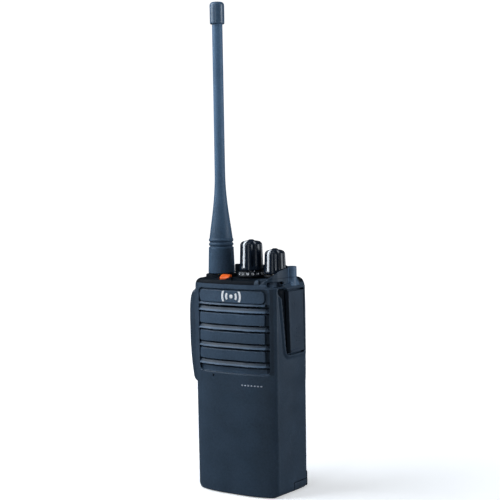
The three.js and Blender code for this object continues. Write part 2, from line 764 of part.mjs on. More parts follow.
addPart(
  'emergency_button',
  profileAlongX(
    outlineShape([
      [emergency.frontY, emergency.bottom],
      [emergency.backY, emergency.bottom],
      [emergency.backY, emergency.top - 0.3],
      [emergency.backY - 0.5, emergency.top],
      [emergency.frontY + 2.2, emergency.top],
      [emergency.frontY + 0.8, emergency.top - 0.7],
      [emergency.frontY, emergency.top - 2.1],
    ]),
    emergency.x0,
    emergency.x1,
  ),
  orangeRubber,
);
addPart('ptt_key', keyWithStem(pttKey), rubber);
for (const key of sideKeys) addPart(key.name, keyWithStem(key), rubber);
addPart(
  'accessory_cover',
  profileAlongX(sidePanelShape(coverRecess.inset + gap), coverRecess.floorX + gap, rightPad.x),
  rubber,
);

addPart('battery_case', batteryCase(), housingPlastic);
addPart(
  'battery_tray',
  box(-bay.halfWidth, bay.halfWidth, bay.frontY, 4.7, bay.bottom, bay.top),
  blackPlastic,
);
addPart('battery_lower_cell', box(-20.5, 20.5, 5.3, 14.1, 9, 52), cellWrap);
addPart('battery_upper_cell', box(-20.5, 20.5, 5.3, 14.1, 52.6, 95.6), cellWrap);
addPart('battery_board', box(-18, 18, 6, 13, 96.2, 97.4), boardGreen);
addPart('battery_contacts', box(-7, 7, 6.4, 11.6, 98.4, 100.5), brass);
addPart('battery_latch', batteryLatch(), blackPlastic);
addPart('latch_spring', latchSpring(), steel);

addPart('clip_bracket', clipBracket(), blackPlastic);
addPart('clip_screw_left', clipScrew(-clipScrewX), steel);
addPart('clip_screw_right', clipScrew(clipScrewX), steel);
addPart('clip_pin', clipPin(), steel);
addPart('clip_spring', clipSpring(), steel);
addPart('clip_lever', clipLever(), blackPlastic);

export default radio;
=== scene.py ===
"""A hand-held two-way radio around its CAD frame. Fields are in millimetres, objects in metres."""
import math

import bpy
import numpy as np
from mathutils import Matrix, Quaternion, Vector


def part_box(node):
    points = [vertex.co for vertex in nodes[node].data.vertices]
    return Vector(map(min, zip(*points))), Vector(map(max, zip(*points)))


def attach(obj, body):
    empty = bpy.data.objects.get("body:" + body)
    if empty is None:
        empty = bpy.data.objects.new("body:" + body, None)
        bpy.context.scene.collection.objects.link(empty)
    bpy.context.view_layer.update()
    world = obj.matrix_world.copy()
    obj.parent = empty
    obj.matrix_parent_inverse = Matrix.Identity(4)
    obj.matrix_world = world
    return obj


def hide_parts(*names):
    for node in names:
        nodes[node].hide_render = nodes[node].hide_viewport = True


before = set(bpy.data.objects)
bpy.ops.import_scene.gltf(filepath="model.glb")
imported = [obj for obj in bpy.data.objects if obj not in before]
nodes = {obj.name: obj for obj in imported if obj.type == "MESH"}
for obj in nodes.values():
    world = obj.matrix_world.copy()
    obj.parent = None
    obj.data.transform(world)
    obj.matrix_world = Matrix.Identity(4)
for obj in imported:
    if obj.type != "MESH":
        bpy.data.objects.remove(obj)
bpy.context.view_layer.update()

MM = 0.001


def mm_box(node):
    """A CAD node's lowest and highest corners in millimetres."""
    low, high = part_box(node)
    return np.array(low) / MM, np.array(high) / MM


# ---- Places taken from the CAD frame ----
HOUSING_LOW, HOUSING_HIGH = mm_box("front_housing")
FRONT_Y = HOUSING_LOW[1]
BACK_Y = HOUSING_HIGH[1]
DECK_Z = 118.5
HALF_BASE, HALF_TOP = 26.5, 27.0
SWEEP, SWEEP_POWER = 5.0, 3.2
INNER_HALF = 24.8
GAP = 0.3  # between a key or button and its opening
CONTROLS_Y = float(sum(b[1] for b in mm_box("channel_knob")) / 2)


def centre_x(node):
    low, high = mm_box(node)
    return float(low[0] + high[0]) / 2


ANTENNA_X = centre_x("antenna_sheath")
CHANNEL_X = centre_x("channel_knob")
VOLUME_X = centre_x("volume_knob")
FINE = 1.0


# ---- Fields: negative inside, roughly a distance, on arrays of points ----
def join(a, b, r=0.0):
    """The union of two fields, with a fillet of radius r."""
    if r == 0:
        return np.minimum(a, b)
    return np.maximum(r, np.minimum(a, b)) - np.hypot(np.maximum(r - a, 0), np.maximum(r - b, 0))


def common(a, b, r=0.0):
    """The intersection of two fields, with an edge rounded to radius r."""
    if r == 0:
        return np.maximum(a, b)
    return np.minimum(-r, np.maximum(a, b)) + np.hypot(np.maximum(r + a, 0), np.maximum(r + b, 0))


def cut(a, b, r=0.0):
    return common(a, -b, r)


def rectangle(u, v, u0, u1, v0, v1, r=0.0):
    du = np.abs(u - (u0 + u1) / 2) - (u1 - u0) / 2 + r
    dv = np.abs(v - (v0 + v1) / 2) - (v1 - v0) / 2 + r
    return np.hypot(np.maximum(du, 0), np.maximum(dv, 0)) + np.minimum(np.maximum(du, dv), 0) - r


def slab(u, u0, u1):
    return np.abs(u - (u0 + u1) / 2) - (u1 - u0) / 2


def block(p, low, high, r=0.3):
    """A box with rounded edges."""
    low, high = np.array(low, float), np.array(high, float)
    q = np.abs(p - (low + high) / 2) - (high - low) / 2 + r
    outside = np.sqrt((np.maximum(q, 0) ** 2).sum(axis=1))
    return outside + np.minimum(q.max(axis=1), 0) - r


def drum(p, x, y, radius, z0, z1, r=0.3):
    """An upright cylinder."""
    side = np.hypot(p[:, 0] - x, p[:, 1] - y) - radius
    return common(side, slab(p[:, 2], z0, z1), r)


def half_plane(u, v, point, direction):
    """Negative to the left of the line through point along direction."""
    d = np.array(direction, float)
    d /= np.hypot(*d)
    return d[1] * (u - point[0]) - d[0] * (v - point[1])


def path_distance(u, v, path):
    """Distance from (u, v) to a polyline."""
    best = np.full_like(u, 1e9)
    for (au, av), (bu, bv) in zip(path[:-1], path[1:]):
        du, dv = bu - au, bv - av
        t = np.clip(((u - au) * du + (v - av) * dv) / (du * du + dv * dv), 0, 1)
        best = np.minimum(best, np.hypot(u - au - t * du, v - av - t * dv))
    return best


def smooth_step(value, start, end):
    t = np.clip((value - start) / (end - start), 0, 1)
    return t * t * (3 - 2 * t)


# ---- The case ----
def half_width(z):
    return HALF_BASE + (HALF_TOP - HALF_BASE) * np.clip(z / DECK_Z, 0, 1)


def side_half_width(y, z):
    """The case is a little wider at its back corners, and swells beside the speaker."""
    swell = 0.3 * smooth_step(z, 58, 66) * (1 - smooth_step(z, 100, 113))
    return half_width(z) + (0.8 + swell) * smooth_step(y, -12, 10)


def front_distance(x, y, half):
    """Distance outside the swept front face."""
    t = np.minimum(np.abs(x) / half, 1.15)
    slope = SWEEP * SWEEP_POWER * t ** (SWEEP_POWER - 1) / half
    return (FRONT_Y + SWEEP * t**SWEEP_POWER - y) / np.sqrt(1 + slope**2)


def case_form(p):
    """The whole body of the radio, battery included, with its rounded edges."""
    x, y, z = p.T
    half = half_width(z)

    def capped(face, top_round, low_round):
        return common(common(face, z - DECK_Z, top_round), -z, low_round)

    front = capped(front_distance(x, y, half), 3.5, 0.8)
    side = capped(np.abs(x) - side_half_width(y, z), 5.6, 4)
    back = capped(y - BACK_Y, 2, 0.8)
    return common(common(front, side, 0.8), back, 1.3)


GRILLE = dict(half=23.0, low=67.0, top=112.6, deep=1.7)
PLATES = [(105.2, 111.9), (93.2, 99.2), (83.4, 89.3), (73.8, 79.6)]
LIPS = [(100.2, 102.6), (90.3, 92.6), (80.6, 82.8), (70.9, 73.2)]
PLATE_LEFT, PLATE_RIGHT = -22.6, 20.6


def grille_relief(x, y, z, half):
    """What fills the sunken speaker panel: plates, and between them lips that lean out going down."""
    deep = front_distance(x, y, half)  # negative going in
    relief = deep + GRILLE["deep"]
    for low, high in PLATES:
        round_by = 0.7 if high < 110 else 2.2
        plate = common(rectangle(x, z, PLATE_LEFT, PLATE_RIGHT, low, high, round_by), deep + 0.45, 0.3)
        relief = join(relief, plate, 0.1)
    for low, high in LIPS:
        lean = half_plane(z, -deep, (low, 0.05), (high - low, 1.15))
        lip = common(common(slab(z, low, high), lean), x - PLATE_RIGHT - 0.6 - (high - z), 0.1)
        relief = join(relief, lip, 0.08)
    upper = common(slab(z, 103.7, 104.9), half_plane(z, -deep, (103.7, 0.15), (1.2, 0.5)), 0.08)
    return join(relief, common(upper, x - PLATE_RIGHT - 0.4), 0.08)


def grille_slots(x, y, z):
    slots = None
    for (low, high), left in zip(LIPS, (-22.4, -15, -15, -9)):
        tall = 1.0 if high > 100 else 0.65
        slot = common(rectangle(x, z, left, 18.5, high + 0.08, high + 0.08 + tall, 0.2), y + 12)
        slots = slot if slots is None else join(slots, slot)
    return slots


def side_panel(y, z, inset, back_inset=None):
    """The outline that the right pad and its recess share: its front edge leans."""
    front_top, front_low, back, low, top = -10.6, -5.6, 15.0, 75.5, 113.6
    lean = half_plane(y, z, (front_top + inset, top), (front_low - front_top, low - top))
    lean = common(lean, low + inset - z, 4.2 - inset)
    back_inset = inset if back_inset is None else back_inset
    return common(common(lean, z - top + inset, 1.6), y - back + back_inset, 1.0)


def key_pad(x, y, z):
    """The bulge on the left side that carries the keys."""
    levels = [58.5, 60, 63, 69, 75, 82, 95, 101, 104, 107.5, 110, 112]
    outer = np.interp(z, levels, [27.0, 27.9, 28.9, 29.8, 30.4, 30.85, 31.0, 30.85, 30.6, 30.0, 28.9, 27.2])
    outline = rectangle(y, z, -12.0, 11, 59.6, 112, 2.5)
    return common(common(-x - outer, x + 25), outline, 0.8)


KEYS = dict(
    ptt_key=dict(y0=-7.6, y1=5.6, z0=86.4, z1=109.2, outer=-31.9, inner=-27.8),
    upper_side_key=dict(y0=-5, y1=3, z0=76.9, z1=83.1, outer=-31.3, inner=-27.5),
    lower_side_key=dict(y0=-5, y1=3, z0=67.9, z1=74.1, outer=-30.6, inner=-27.5),
)
POST = dict(x=25.1, y=6.1, top=124.3)
GUARD_LINE = [
    (16.4, -14.9),
    (20.5, -13.5),
    (23.6, -11.2),
    (25.2, -8.2),
    (25.75, -4.5),
    (25.85, -1.0),
    (25.5, 1.6),
    (24.9, 3.9),
]


def along_guard(x, y):
    """How far a point is along the guard, from its foot at the front towards the post."""
    return 0.83 * x + 0.56 * y


def knob_guard(p):
    """The wall that climbs round the volume knob, and the post at its end."""
    x, y, z = p.T
    rise = np.interp(along_guard(x, y), [5, 7, 17.6, 20.7, 24], [114.4, 115.8, 122.6, 123.5, 123.8])
    wall = path_distance(x, y, GUARD_LINE) - 0.42
    wall = common(common(wall, (z - rise) * 0.85, 0.3), 110 - z)
    radius = 3.0 - 0.15 * (z - 112) / 12.3
    post = common(np.hypot(x - POST["x"], y - POST["y"]) - radius, slab(z, 110, POST["top"]), 0.4)
    dimple = drum(p, POST["x"], POST["y"], 2.0, POST["top"] - 0.35, 130, 0.2)
    return cut(join(wall, post, 0.1), dimple, 0.2)


def strap_eyelet(p):
    """The way for a wrist strap under the guard."""
    x, y, z = p.T
    plan = common(front_distance(x, y, half_width(z)), np.abs(x) - half_width(z), 2.2)
    along = along_guard(x, y)
    tunnel = common(common(-plan - 4.2, plan - 3), rectangle(along, z, 10.4, 40, 113.7, 116.7, 1.3), 0.4)
    tunnel = common(tunnel, y + 3.6, 0.8)
    behind = common(common(-plan - 4.2, 0.62 - path_distance(x, y, GUARD_LINE), 0.2), slab(z, 113.9, 130))
    behind = common(behind, np.maximum(11.4 - along, y + 3.6), 0.6)
    scoop = np.sqrt((x - 29.0) ** 2 + ((y + 7.4) / 1.3) ** 2 + ((z - 111.6) / 1.15) ** 2) - 3.3
    return np.minimum(np.minimum(tunnel, behind), scoop)


def button_fence(p):
    """A low fence before the emergency button, higher at its right end."""
    x, y, z = p.T
    low, high = mm_box("emergency_button")
    fence = block(p, (low[0] + 1.5, low[1] - 1.3, 112), (high[0] + 3, low[1] - 0.3, 119.3), 0.2)
    return common(fence, half_plane(x, z, (low[0] + 1.5, 117.3), (-7.5, -2.0)), 0.15)


def housing_field(p):
    x, y, z = p.T
    half = half_width(z)
    f = case_form(p)
    f = join(f, key_pad(x, y, z), 0.8)
    pad = common(side_panel(y, z, 0), slab(x, 24, 28.15), 0.8)
    f = join(f, pad, 1.2)
    f = join(f, button_fence(p), 0.6)
    f = join(f, drum(p, ANTENNA_X, CONTROLS_Y, 8.7, 110, 119.5, 0.5), 0.5)
    plan = common(front_distance(x, y, half), np.abs(x) - half, 2.2)
    shelf = common(common(-plan - 3.2, 6.3 - along_guard(x, y), 0.8), np.maximum(115.2 - z, y - 3), 0.4)
    f = cut(f, shelf, 0.4)
    f = join(f, knob_guard(p), 0.3)
    f = join(f, block(p, (-17, 12.8, 110), (17, 15.4, 123.9), 0.6), 0.5)
    panel = common(rectangle(x, z, -GRILLE["half"], GRILLE["half"], GRILLE["low"], GRILLE["top"], 2.6), y + 5)
    panel = common(panel, -front_distance(x, y, half) - GRILLE["deep"] - 0.1)
    f = cut(f, panel, 0.45)
    relief = common(grille_relief(x, y, z, half), rectangle(x, z, -23.2, 23.2, 66.8, 112.8, 2.6))
    f = join(f, common(relief, -front_distance(x, y, half) - 4), 0.12)
    f = cut(f, grille_slots(x, y, z), 0.1)
    recess = common(side_panel(y, z, 1.3, 1.4), slab(x, 26.2, 40), 0.2)
    f = cut(f, recess, 0.3)
    f = cut(f, strap_eyelet(p), 0.45)
    for key in KEYS.values():
        low = (-40, key["y0"] - GAP, key["z0"] - GAP)
        high = (-26.2, key["y1"] + GAP, key["z1"] + GAP)
        f = cut(f, block(p, low, high, 0.9), 0.25)
    low, high = mm_box("emergency_button")
    low, high = (low[0] - GAP, low[1] - GAP, 112.95), (high[0] + GAP, high[1] + GAP, 130)
    f = cut(f, block(p, low, high, 0.4), 0.3)
    thick = 2.2 + 0.9 * smooth_step(z, 60, 64)  # the wall is thicker behind the speaker panel
    inside = common(front_distance(x, y, half) + thick, np.abs(x) - INNER_HALF, 1)
    inside = common(inside, slab(z, 2.5, 116.2), 0.6)
    keep = np.maximum(np.maximum(14 - x, y + 3), 112.6 - z)
    inside = np.maximum(inside, -keep)
    f = cut(f, inside, 0.2)
    bay = common(2.9 - y, z - 6.1, 0.3)
    f = cut(f, bay, 0.25)
    for x0, radius in ((CHANNEL_X, 3.75), (VOLUME_X, 3.75), (ANTENNA_X, 4.7)):
        f = cut(f, drum(p, x0, CONTROLS_Y, radius, 110, 130, 0.1), 0.2)
    led_low, led_high = mm_box("led_lens")
    led = (led_low + led_high) / 2
    f = cut(f, drum(p, led[0], led[1], 1.8, 110, 130, 0.1), 0.25)
    mic = common(np.hypot(x + 12, z - 65.2) - 0.6, y + 10)
    return cut(f, mic, 0.15)


# ---- Meshes from fields ----
def in_chunks(field, points, size=400_000):
    return np.concatenate([field(points[i : i + size]) for i in range(0, len(points), size)])


def gradient(field, points, eps=0.03):
    out = np.empty_like(points)
    for axis in range(3):
        step = np.zeros(3)
        step[axis] = eps
        out[:, axis] = (in_chunks(field, points + step) - in_chunks(field, points - step)) / (2 * eps)
    return out


def sample_grid(field, low, high, step):
    """Field values on a grid, worked out only near the surface, and the grid's lowest corner."""
    span = 4
    low = np.array(low, float) - 2 * step
    blocks = np.ceil((np.array(high, float) + 2 * step - low) / (span * step)).astype(int)
    centres = np.stack(np.meshgrid(*[(np.arange(n) + 0.5) * span * step for n in blocks], indexing="ij"), -1)
    rough = in_chunks(field, centres.reshape(-1, 3) + low).reshape(blocks)
    values = np.repeat(np.repeat(np.repeat(rough, span, 0), span, 1), span, 2)
    values = np.pad(values, ((0, 1),) * 3, mode="edge").astype(np.float32)
    active = np.argwhere(np.abs(rough) < span * step * 1.35)
    offsets = np.stack(np.meshgrid(*[np.arange(span + 1)] * 3, indexing="ij"), -1).reshape(-1, 3)
    index = (active[:, None, :] * span + offsets[None]).reshape(-1, 3)
    flat = np.unique(np.ravel_multi_index(index.T, values.shape))
    index = np.stack(np.unravel_index(flat, values.shape), -1)
    values.reshape(-1)[flat] = in_chunks(field, index * step + low)
    return values, low


CORNERS = np.array([(i, j, k) for i in (0, 1) for j in (0, 1) for k in (0, 1)])
EDGES = [(a, b) for a in range(8) for b in range(a + 1, 8) if np.abs(CORNERS[a] - CORNERS[b]).sum() == 1]


def surface_net(values, low, step):
    """One vertex in each cell that the surface crosses, and one quad for each grid edge that it crosses."""
    inside = values < 0
    n = np.array(values.shape)
    count = sum(
        inside[i : n[0] - 1 + i, j : n[1] - 1 + j, k : n[2] - 1 + k].astype(np.int8) for i, j, k in CORNERS
    )
    cells = np.argwhere((count > 0) & (count < 8))
    corner_values = np.stack([values[tuple((cells + c).T)] for c in CORNERS], 1)
    total = np.zeros((len(cells), 3))
    hits = np.zeros(len(cells))
    for a, b in EDGES:
        va, vb = corner_values[:, a], corner_values[:, b]
        crossed = (va < 0) != (vb < 0)
        t = np.where(crossed, va / np.where(crossed, va - vb, 1), 0)
        total += np.where(crossed[:, None], CORNERS[a] + t[:, None] * (CORNERS[b] - CORNERS[a]), 0)
        hits += crossed
    points = (cells + total / hits[:, None]) * step + low
    number = np.full(n - 1, -1, np.int32)
    number[tuple(cells.T)] = np.arange(len(cells))
    quads = []
    for axis in range(3):
        u, v = (axis + 1) % 3, (axis + 2) % 3
        a = [slice(1, n[d] - 1) for d in range(3)]
        b = list(a)
        a[axis] = slice(0, n[axis] - 1)
        b[axis] = slice(1, n[axis])
        start, end = inside[tuple(a)], inside[tuple(b)]
        for leaving in (True, False):
            found = np.argwhere((start & ~end) if leaving else (~start & end))
            base = found + np.array([0 if d == axis else 1 for d in range(3)])
            unit_u, unit_v = np.eye(3, dtype=int)[u], np.eye(3, dtype=int)[v]
            around = [base - unit_u - unit_v, base - unit_v, base, base - unit_u]
            quad = np.stack([number[tuple(c.T)] for c in around], 1)
            quads.append(quad if leaving else quad[:, ::-1])
    return points, np.concatenate(quads)


def settle(field, points, limit, rounds=2):
    """Moves points onto the field's surface."""
    for _ in range(rounds):
        value = in_chunks(field, points)
        slope = gradient(field, points)
        size = np.maximum((slope**2).sum(axis=1), 0.2)
        points = points - slope * (np.clip(value, -limit, limit) / size)[:, None]
    return points


def in_scene(name, data):
    obj = bpy.data.objects.new(name, data)
    bpy.context.scene.collection.objects.link(obj)
    return obj


def new_object(name, points, faces):
    """A mesh object from points in millimetres."""
    mesh = bpy.data.meshes.new(name)
    mesh.from_pydata((np.asarray(points) * MM).tolist(), [], np.asarray(faces).tolist() if len(faces) else [])
    mesh.validate()
    mesh.shade_smooth()
    return in_scene(name, mesh)


def thin_out(obj, most):
    """Collapses the flattest faces until no more than this many triangles are left."""
    triangles = 2 * len(obj.data.polygons)
    if triangles <= most:
        return
    modifier = obj.modifiers.new("thin", "DECIMATE")
    modifier.ratio = most / triangles
    modifier.use_collapse_triangulate = True
    graph = bpy.context.evaluated_depsgraph_get()
    done = bpy.data.meshes.new_from_object(obj.evaluated_get(graph))
    obj.modifiers.clear()
    old = obj.data
    obj.data = done
    bpy.data.meshes.remove(old)


def unit(vectors):
    return vectors / np.maximum(np.linalg.norm(vectors, axis=1), 1e-6)[:, None]


def shade_from_field(mesh, field, points):
    """Takes normals from the field. Where a face leans away from its corner's normal, as beside a
    crease, the normal is taken a little way into that face."""
    normals = unit(gradient(field, points, 0.05))
    corner_point = np.empty(len(mesh.loops), int)
    mesh.loops.foreach_get("vertex_index", corner_point)
    sides = np.empty(len(mesh.polygons), int)
    mesh.polygons.foreach_get("loop_total", sides)
    corner_face = np.repeat(np.arange(len(sides)), sides)
    centres = np.empty(len(sides) * 3)
    mesh.polygons.foreach_get("center", centres)
    flat = np.empty(len(sides) * 3)
    mesh.polygons.foreach_get("normal", flat)
    centres, flat = centres.reshape(-1, 3) / MM, flat.reshape(-1, 3)
    at_corner = normals[corner_point]
    leaning = np.flatnonzero((at_corner * flat[corner_face]).sum(axis=1) < 0.94)
    start = points[corner_point[leaning]]
    inward = centres[corner_face[leaning]] - start
    reach = np.maximum(np.linalg.norm(inward, axis=1), 1e-6)
    moved = start + inward * np.minimum(0.4, 0.3 / reach)[:, None]
    better = unit(gradient(field, moved, 0.05))
    face_normal = flat[corner_face[leaning]]
    poor = (better * face_normal).sum(axis=1) < 0.75
    better[poor] = face_normal[poor]
    at_corner[leaning] = better
    mesh.normals_split_custom_set(at_corner.tolist())


def from_field(name, field, low, high, step, most=60_000):
    """A smooth mesh of a field, with its normals taken from the field itself."""
    step = step * FINE
    values, corner = sample_grid(field, low, high, step)
    points, quads = surface_net(values, corner, step)
    points = settle(field, points, step)
    obj = new_object(name, points, quads)
    thin_out(obj, most)
    coordinates = np.empty(len(obj.data.vertices) * 3)
    obj.data.vertices.foreach_get("co", coordinates)
    points = settle(field, coordinates.reshape(-1, 3) / MM, step * 0.5, 1)
    obj.data.vertices.foreach_set("co", (points * MM).ravel())
    shade_from_field(obj.data, field, points)
    obj.data.update()
    return obj


# ---- Turned pieces ----
def rounded_profile(corners, steps=5):
    """A polyline of (radius, z, round) with an arc in place of each corner that has a round."""
    out = []
    for i, (r, z, round_by) in enumerate(corners):
        here = np.array((r, z), float)
        if round_by <= 0 or i in (0, len(corners) - 1):
            out.append(here)
            continue
        before = np.array(corners[i - 1][:2], float) - here
        after = np.array(corners[i + 1][:2], float) - here
        reach = min(round_by, np.hypot(*before) / 2.05, np.hypot(*after) / 2.05)
        start = here + before / np.hypot(*before) * reach
        end = here + after / np.hypot(*after) * reach
        for k in range(steps + 1):
            t = k / steps
            out.append((1 - t) ** 2 * start + 2 * t * (1 - t) * here + t**2 * end)
    return np.array(out)


def turned(name, centre, profile, segments=96, reshape=None):
    """Turns a profile of (radius, z) about an upright axis. A radius of zero at an end closes it."""
    angles = np.linspace(0, 2 * np.pi, segments, endpoint=False)
    radii, heights = np.asarray(profile, float).T
    radius = np.repeat(radii[:, None], segments, 1)
    height = np.repeat(heights[:, None], segments, 1)
    if reshape is not None:
        radius, height = reshape(radius, height, angles[None, :])
    x = centre[0] + radius * np.cos(angles)
    y = centre[1] + radius * np.sin(angles)
    points = np.stack([x, y, height], -1).reshape(-1, 3)
    faces = []
    for k in range(len(radii) - 1):
        a = k * segments + np.arange(segments)
        b = k * segments + (np.arange(segments) + 1) % segments
        faces.append(np.stack([a, b, b + segments, a + segments], 1))
    obj = new_object(name, points, np.concatenate(faces))
    weld = obj.modifiers.new("weld", "WELD")
    weld.merge_threshold = 1e-6
    return obj


def swept_tube(name, points, radius):
    """A wire along points, as a curve with a round section."""
    curve = bpy.data.curves.new(name, "CURVE")
    curve.dimensions = "3D"
    curve.bevel_depth = radius * MM
    curve.bevel_resolution = 4
    curve.use_fill_caps = True
    spline = curve.splines.new("POLY")
    spline.points.add(len(points) - 1)
    for target, point in zip(spline.points, points):
        target.co = (*(np.array(point) * MM), 1)
    return in_scene(name, curve)


# ---- Materials ----
def linear(red, green, blue):
    """A colour from its 0 to 255 screen values."""
    parts = [c / 255 for c in (red, green, blue)]
    return tuple(c / 12.92 if c <= 0.04045 else ((c + 0.055) / 1.055) ** 2.4 for c in parts)


def calculate(tree, operation, *values):
    """A math node; each value is a number or the output of another node."""
    node = tree.nodes.new("ShaderNodeMath")
    node.operation = operation
    for socket, value in zip(node.inputs, values):
        if isinstance(value, (int, float)):
            socket.default_value = value
        else:
            tree.links.new(value, socket)
    return node.outputs["Value"]


def map_range(tree, value, source, target=(0.0, 1.0)):
    """A node that carries value from the source range to the target range."""
    node = tree.nodes.new("ShaderNodeMapRange")
    tree.links.new(value, node.inputs["Value"])
    for name, number in zip(("From Min", "From Max", "To Min", "To Max"), (*source, *target)):
        node.inputs[name].default_value = number
    return node


def shade_zone(tree, parts, shade, ranges, edge, factor):
    """Multiplies shade by factor inside a box with soft edges."""
    inside = None
    for axis, (low, high) in zip("XYZ", ranges):
        away = calculate(tree, "SUBTRACT", parts.outputs[axis], (low + high) / 2 * MM)
        reach = calculate(tree, "SUBTRACT", calculate(tree, "ABSOLUTE", away), (high - low) / 2 * MM)
        here = map_range(tree, reach, (edge / 2 * MM, -edge / 2 * MM)).outputs["Result"]
        inside = here if inside is None else calculate(tree, "MULTIPLY", inside, here)
    change = calculate(tree, "MULTIPLY_ADD", inside, factor - 1, 1.0)
    return calculate(tree, "MULTIPLY", shade, change)


def surface(
    name, colour, roughness, metallic=0.0, grain=0.0, grain_size=0.35, vary=0.12, smudge=0.08, coat=0.0,
    level=0.25, zones=()
):
    """A procedural finish: colour and roughness drift a little, and a fine grain stands in relief.

    Each zone is a box of (low, high) along x, y and z in millimetres, the width of its soft edge, and
    a factor by which the colour is multiplied inside it. Where that is below a half, the sheen is too."""
    material = bpy.data.materials.new(name)
    material.use_nodes = True
    tree = material.node_tree
    shader = tree.nodes["Principled BSDF"]
    for socket, value in (("Metallic", metallic), ("Coat Weight", coat), ("Specular IOR Level", level)):
        shader.inputs[socket].default_value = value
    place = tree.nodes.new("ShaderNodeTexCoord")

    def noise(size, detail):
        node = tree.nodes.new("ShaderNodeTexNoise")
        node.inputs["Scale"].default_value = 1 / (size * MM)
        node.inputs["Detail"].default_value = detail
        tree.links.new(place.outputs["Object"], node.inputs["Vector"])
        return node.outputs["Fac"]

    drift = map_range(tree, noise(14.0, 4), (0.3, 0.7), (1 - vary, 1 + vary))
    fleck = noise(grain_size * 2.2, 2)
    speck = map_range(tree, fleck, (0.35, 0.65), (1 - vary * 0.8, 1 + vary * 0.8))
    shade = calculate(tree, "MULTIPLY", drift.outputs["Result"], speck.outputs["Result"])
    if zones:
        parts = tree.nodes.new("ShaderNodeSeparateXYZ")
        tree.links.new(place.outputs["Object"], parts.inputs["Vector"])
    # The zones are painted light and shade: each multiplies the colour in its box, and one that darkens below
    # a half also dims the sheen, as painted shade.
    sheen = level
    for ranges, edge, factor in zones:
        shade = shade_zone(tree, parts, shade, ranges, edge, factor)
        if factor < 0.5:
            sheen = shade_zone(tree, parts, sheen, ranges, edge, factor)
            tree.links.new(sheen, shader.inputs["Specular IOR Level"])
    tint = tree.nodes.new("ShaderNodeVectorMath")
    tint.operation = "SCALE"
    tint.inputs[0].default_value = colour
    tree.links.new(shade, tint.inputs["Scale"])
    tree.links.new(tint.outputs["Vector"], shader.inputs["Base Color"])

    smooth, dull = max(0.02, roughness - smudge), min(1, roughness + smudge)
    rough = map_range(tree, noise(5.0, 5), (0.3, 0.7), (smooth, dull))
    tree.links.new(rough.outputs["Result"], shader.inputs["Roughness"])

    if grain:
        bump = tree.nodes.new("ShaderNodeBump")
        bump.inputs["Strength"].default_value = grain
        bump.inputs["Distance"].default_value = 0.05 * MM
        tree.links.new(noise(grain_size, 3), bump.inputs["Height"])
        tree.links.new(bump.outputs["Normal"], shader.inputs["Normal"])
    return material


EVERYWHERE = (-500.0, 500.0)
FRONT = (-30, -8)
# Painted light and shade on the case: each box lightens or darkens the case colour where light or shade
# falls.
HOUSING_PAINTED_SHADING = [
    (((-23.2, 23.2), FRONT, (67, 115.2)), 0.15, 1.35),  # painted light on the speaker panel
    (((-23.2, 23.2), FRONT, (90, 115.2)), 16, 1.25),  # its upper half, which catches more light
    (((22, 30), (2, 10), (113.9, 125)), 0.3, 2.8),  # painted highlight: the post drawn lighter than the case
    (((-40, 15.2), EVERYWHERE, (115.3, 130)), 0.25, 0.15),  # painted shade on the deck, which also loses its sheen
    # painted highlight on the lower part of each lip, and painted shade on its upper part
    *[(((-23.2, 21.5), FRONT, (low, low + 1.0)), 0.1, 1.5) for low, high in LIPS],
    *[(((-23.2, 21.5), FRONT, (low + 1.1, high)), 0.15, 0.55) for low, high in LIPS],
    (((20.7, 23.3), FRONT, (67.5, 104.8)), 0.2, 0.45),  # painted shade in the channel beside the louvres
    (((23.3, 25.2), (-30, -9), (67, 113)), 0.6, 0.65),  # painted shade on the rounded edge beside the channel
    # painted shadow under each lip, and painted shade in the slot above it
    *[(((-23.2, 23.2), FRONT, (low - 0.95, low - 0.02)), 0.1, 0.2) for low, high in LIPS],
    *[(((-23.2, 23.2), FRONT, (high + 0.05, high + 0.8)), 0.1, 0.3) for low, high in LIPS],
    (((25.5, 26.7), (-11, 0), (76, 113)), 0.1, 0.15),  # painted shade on the floor of the groove beside the cover
    (((15.2, 40), EVERYWHERE, (118.4, 118.62)), 0.05, 0.22),  # painted shade on the deck round the volume knob
    (((15.2, 40), (11.2, 40), (115.3, 130)), 0.25, 0.22),  # painted shade on the deck behind the post
]
# Painted light: the thin whip is drawn lighter above the flare, on the same rubber.
WHIP_PAINTED_LIGHT = [((EVERYWHERE, EVERYWHERE, (165, 400)), 50, 2.0)]
case_blue = linear(51, 66, 82)
case_plastic = surface("case_plastic", case_blue, 0.42, grain=0.5, grain_size=0.45, zones=HOUSING_PAINTED_SHADING)
battery_plastic = surface("battery_plastic", linear(48, 62, 77), 0.46, grain=0.5, grain_size=0.45)
black_plastic = surface("black_plastic", linear(18, 24, 32), 0.4, grain=0.3, grain_size=0.5)
gloss_black = surface(
    "gloss_black", linear(14, 27, 42), 0.2, grain=0.05, grain_size=1.4, smudge=0.05, level=0.3
)
key_rubber = surface("key_rubber", linear(58, 74, 93), 0.5, grain=0.35, grain_size=0.3)
whip_rubber = surface(
    "whip_rubber", linear(64, 86, 108), 0.48, grain=0.35, grain_size=0.4, level=0.2, zones=WHIP_PAINTED_LIGHT
)
cover_rubber = surface(
    "cover_rubber",
    linear(51, 65, 81),
    0.5,
    grain=0.35,
    grain_size=0.3,
    zones=[(((25, 27.98), (-8, 1.2), (70, 120)), 0.1, 0.2)],  # painted shade on the cover's sloping front edge
)
orange_rubber = surface("orange_rubber", linear(252, 108, 38), 0.42, grain=0.3, grain_size=0.35, vary=0.06)
white_ink = surface("white_ink", linear(252, 253, 255), 0.4, grain=0.15, grain_size=0.3, vary=0.03)
grey_ink = surface("grey_ink", linear(178, 186, 200), 0.45, grain=0.15, grain_size=0.3, vary=0.05)
cast_alloy = surface("cast_alloy", linear(168, 172, 176), 0.42, metallic=0.95, grain=0.5, grain_size=0.6)
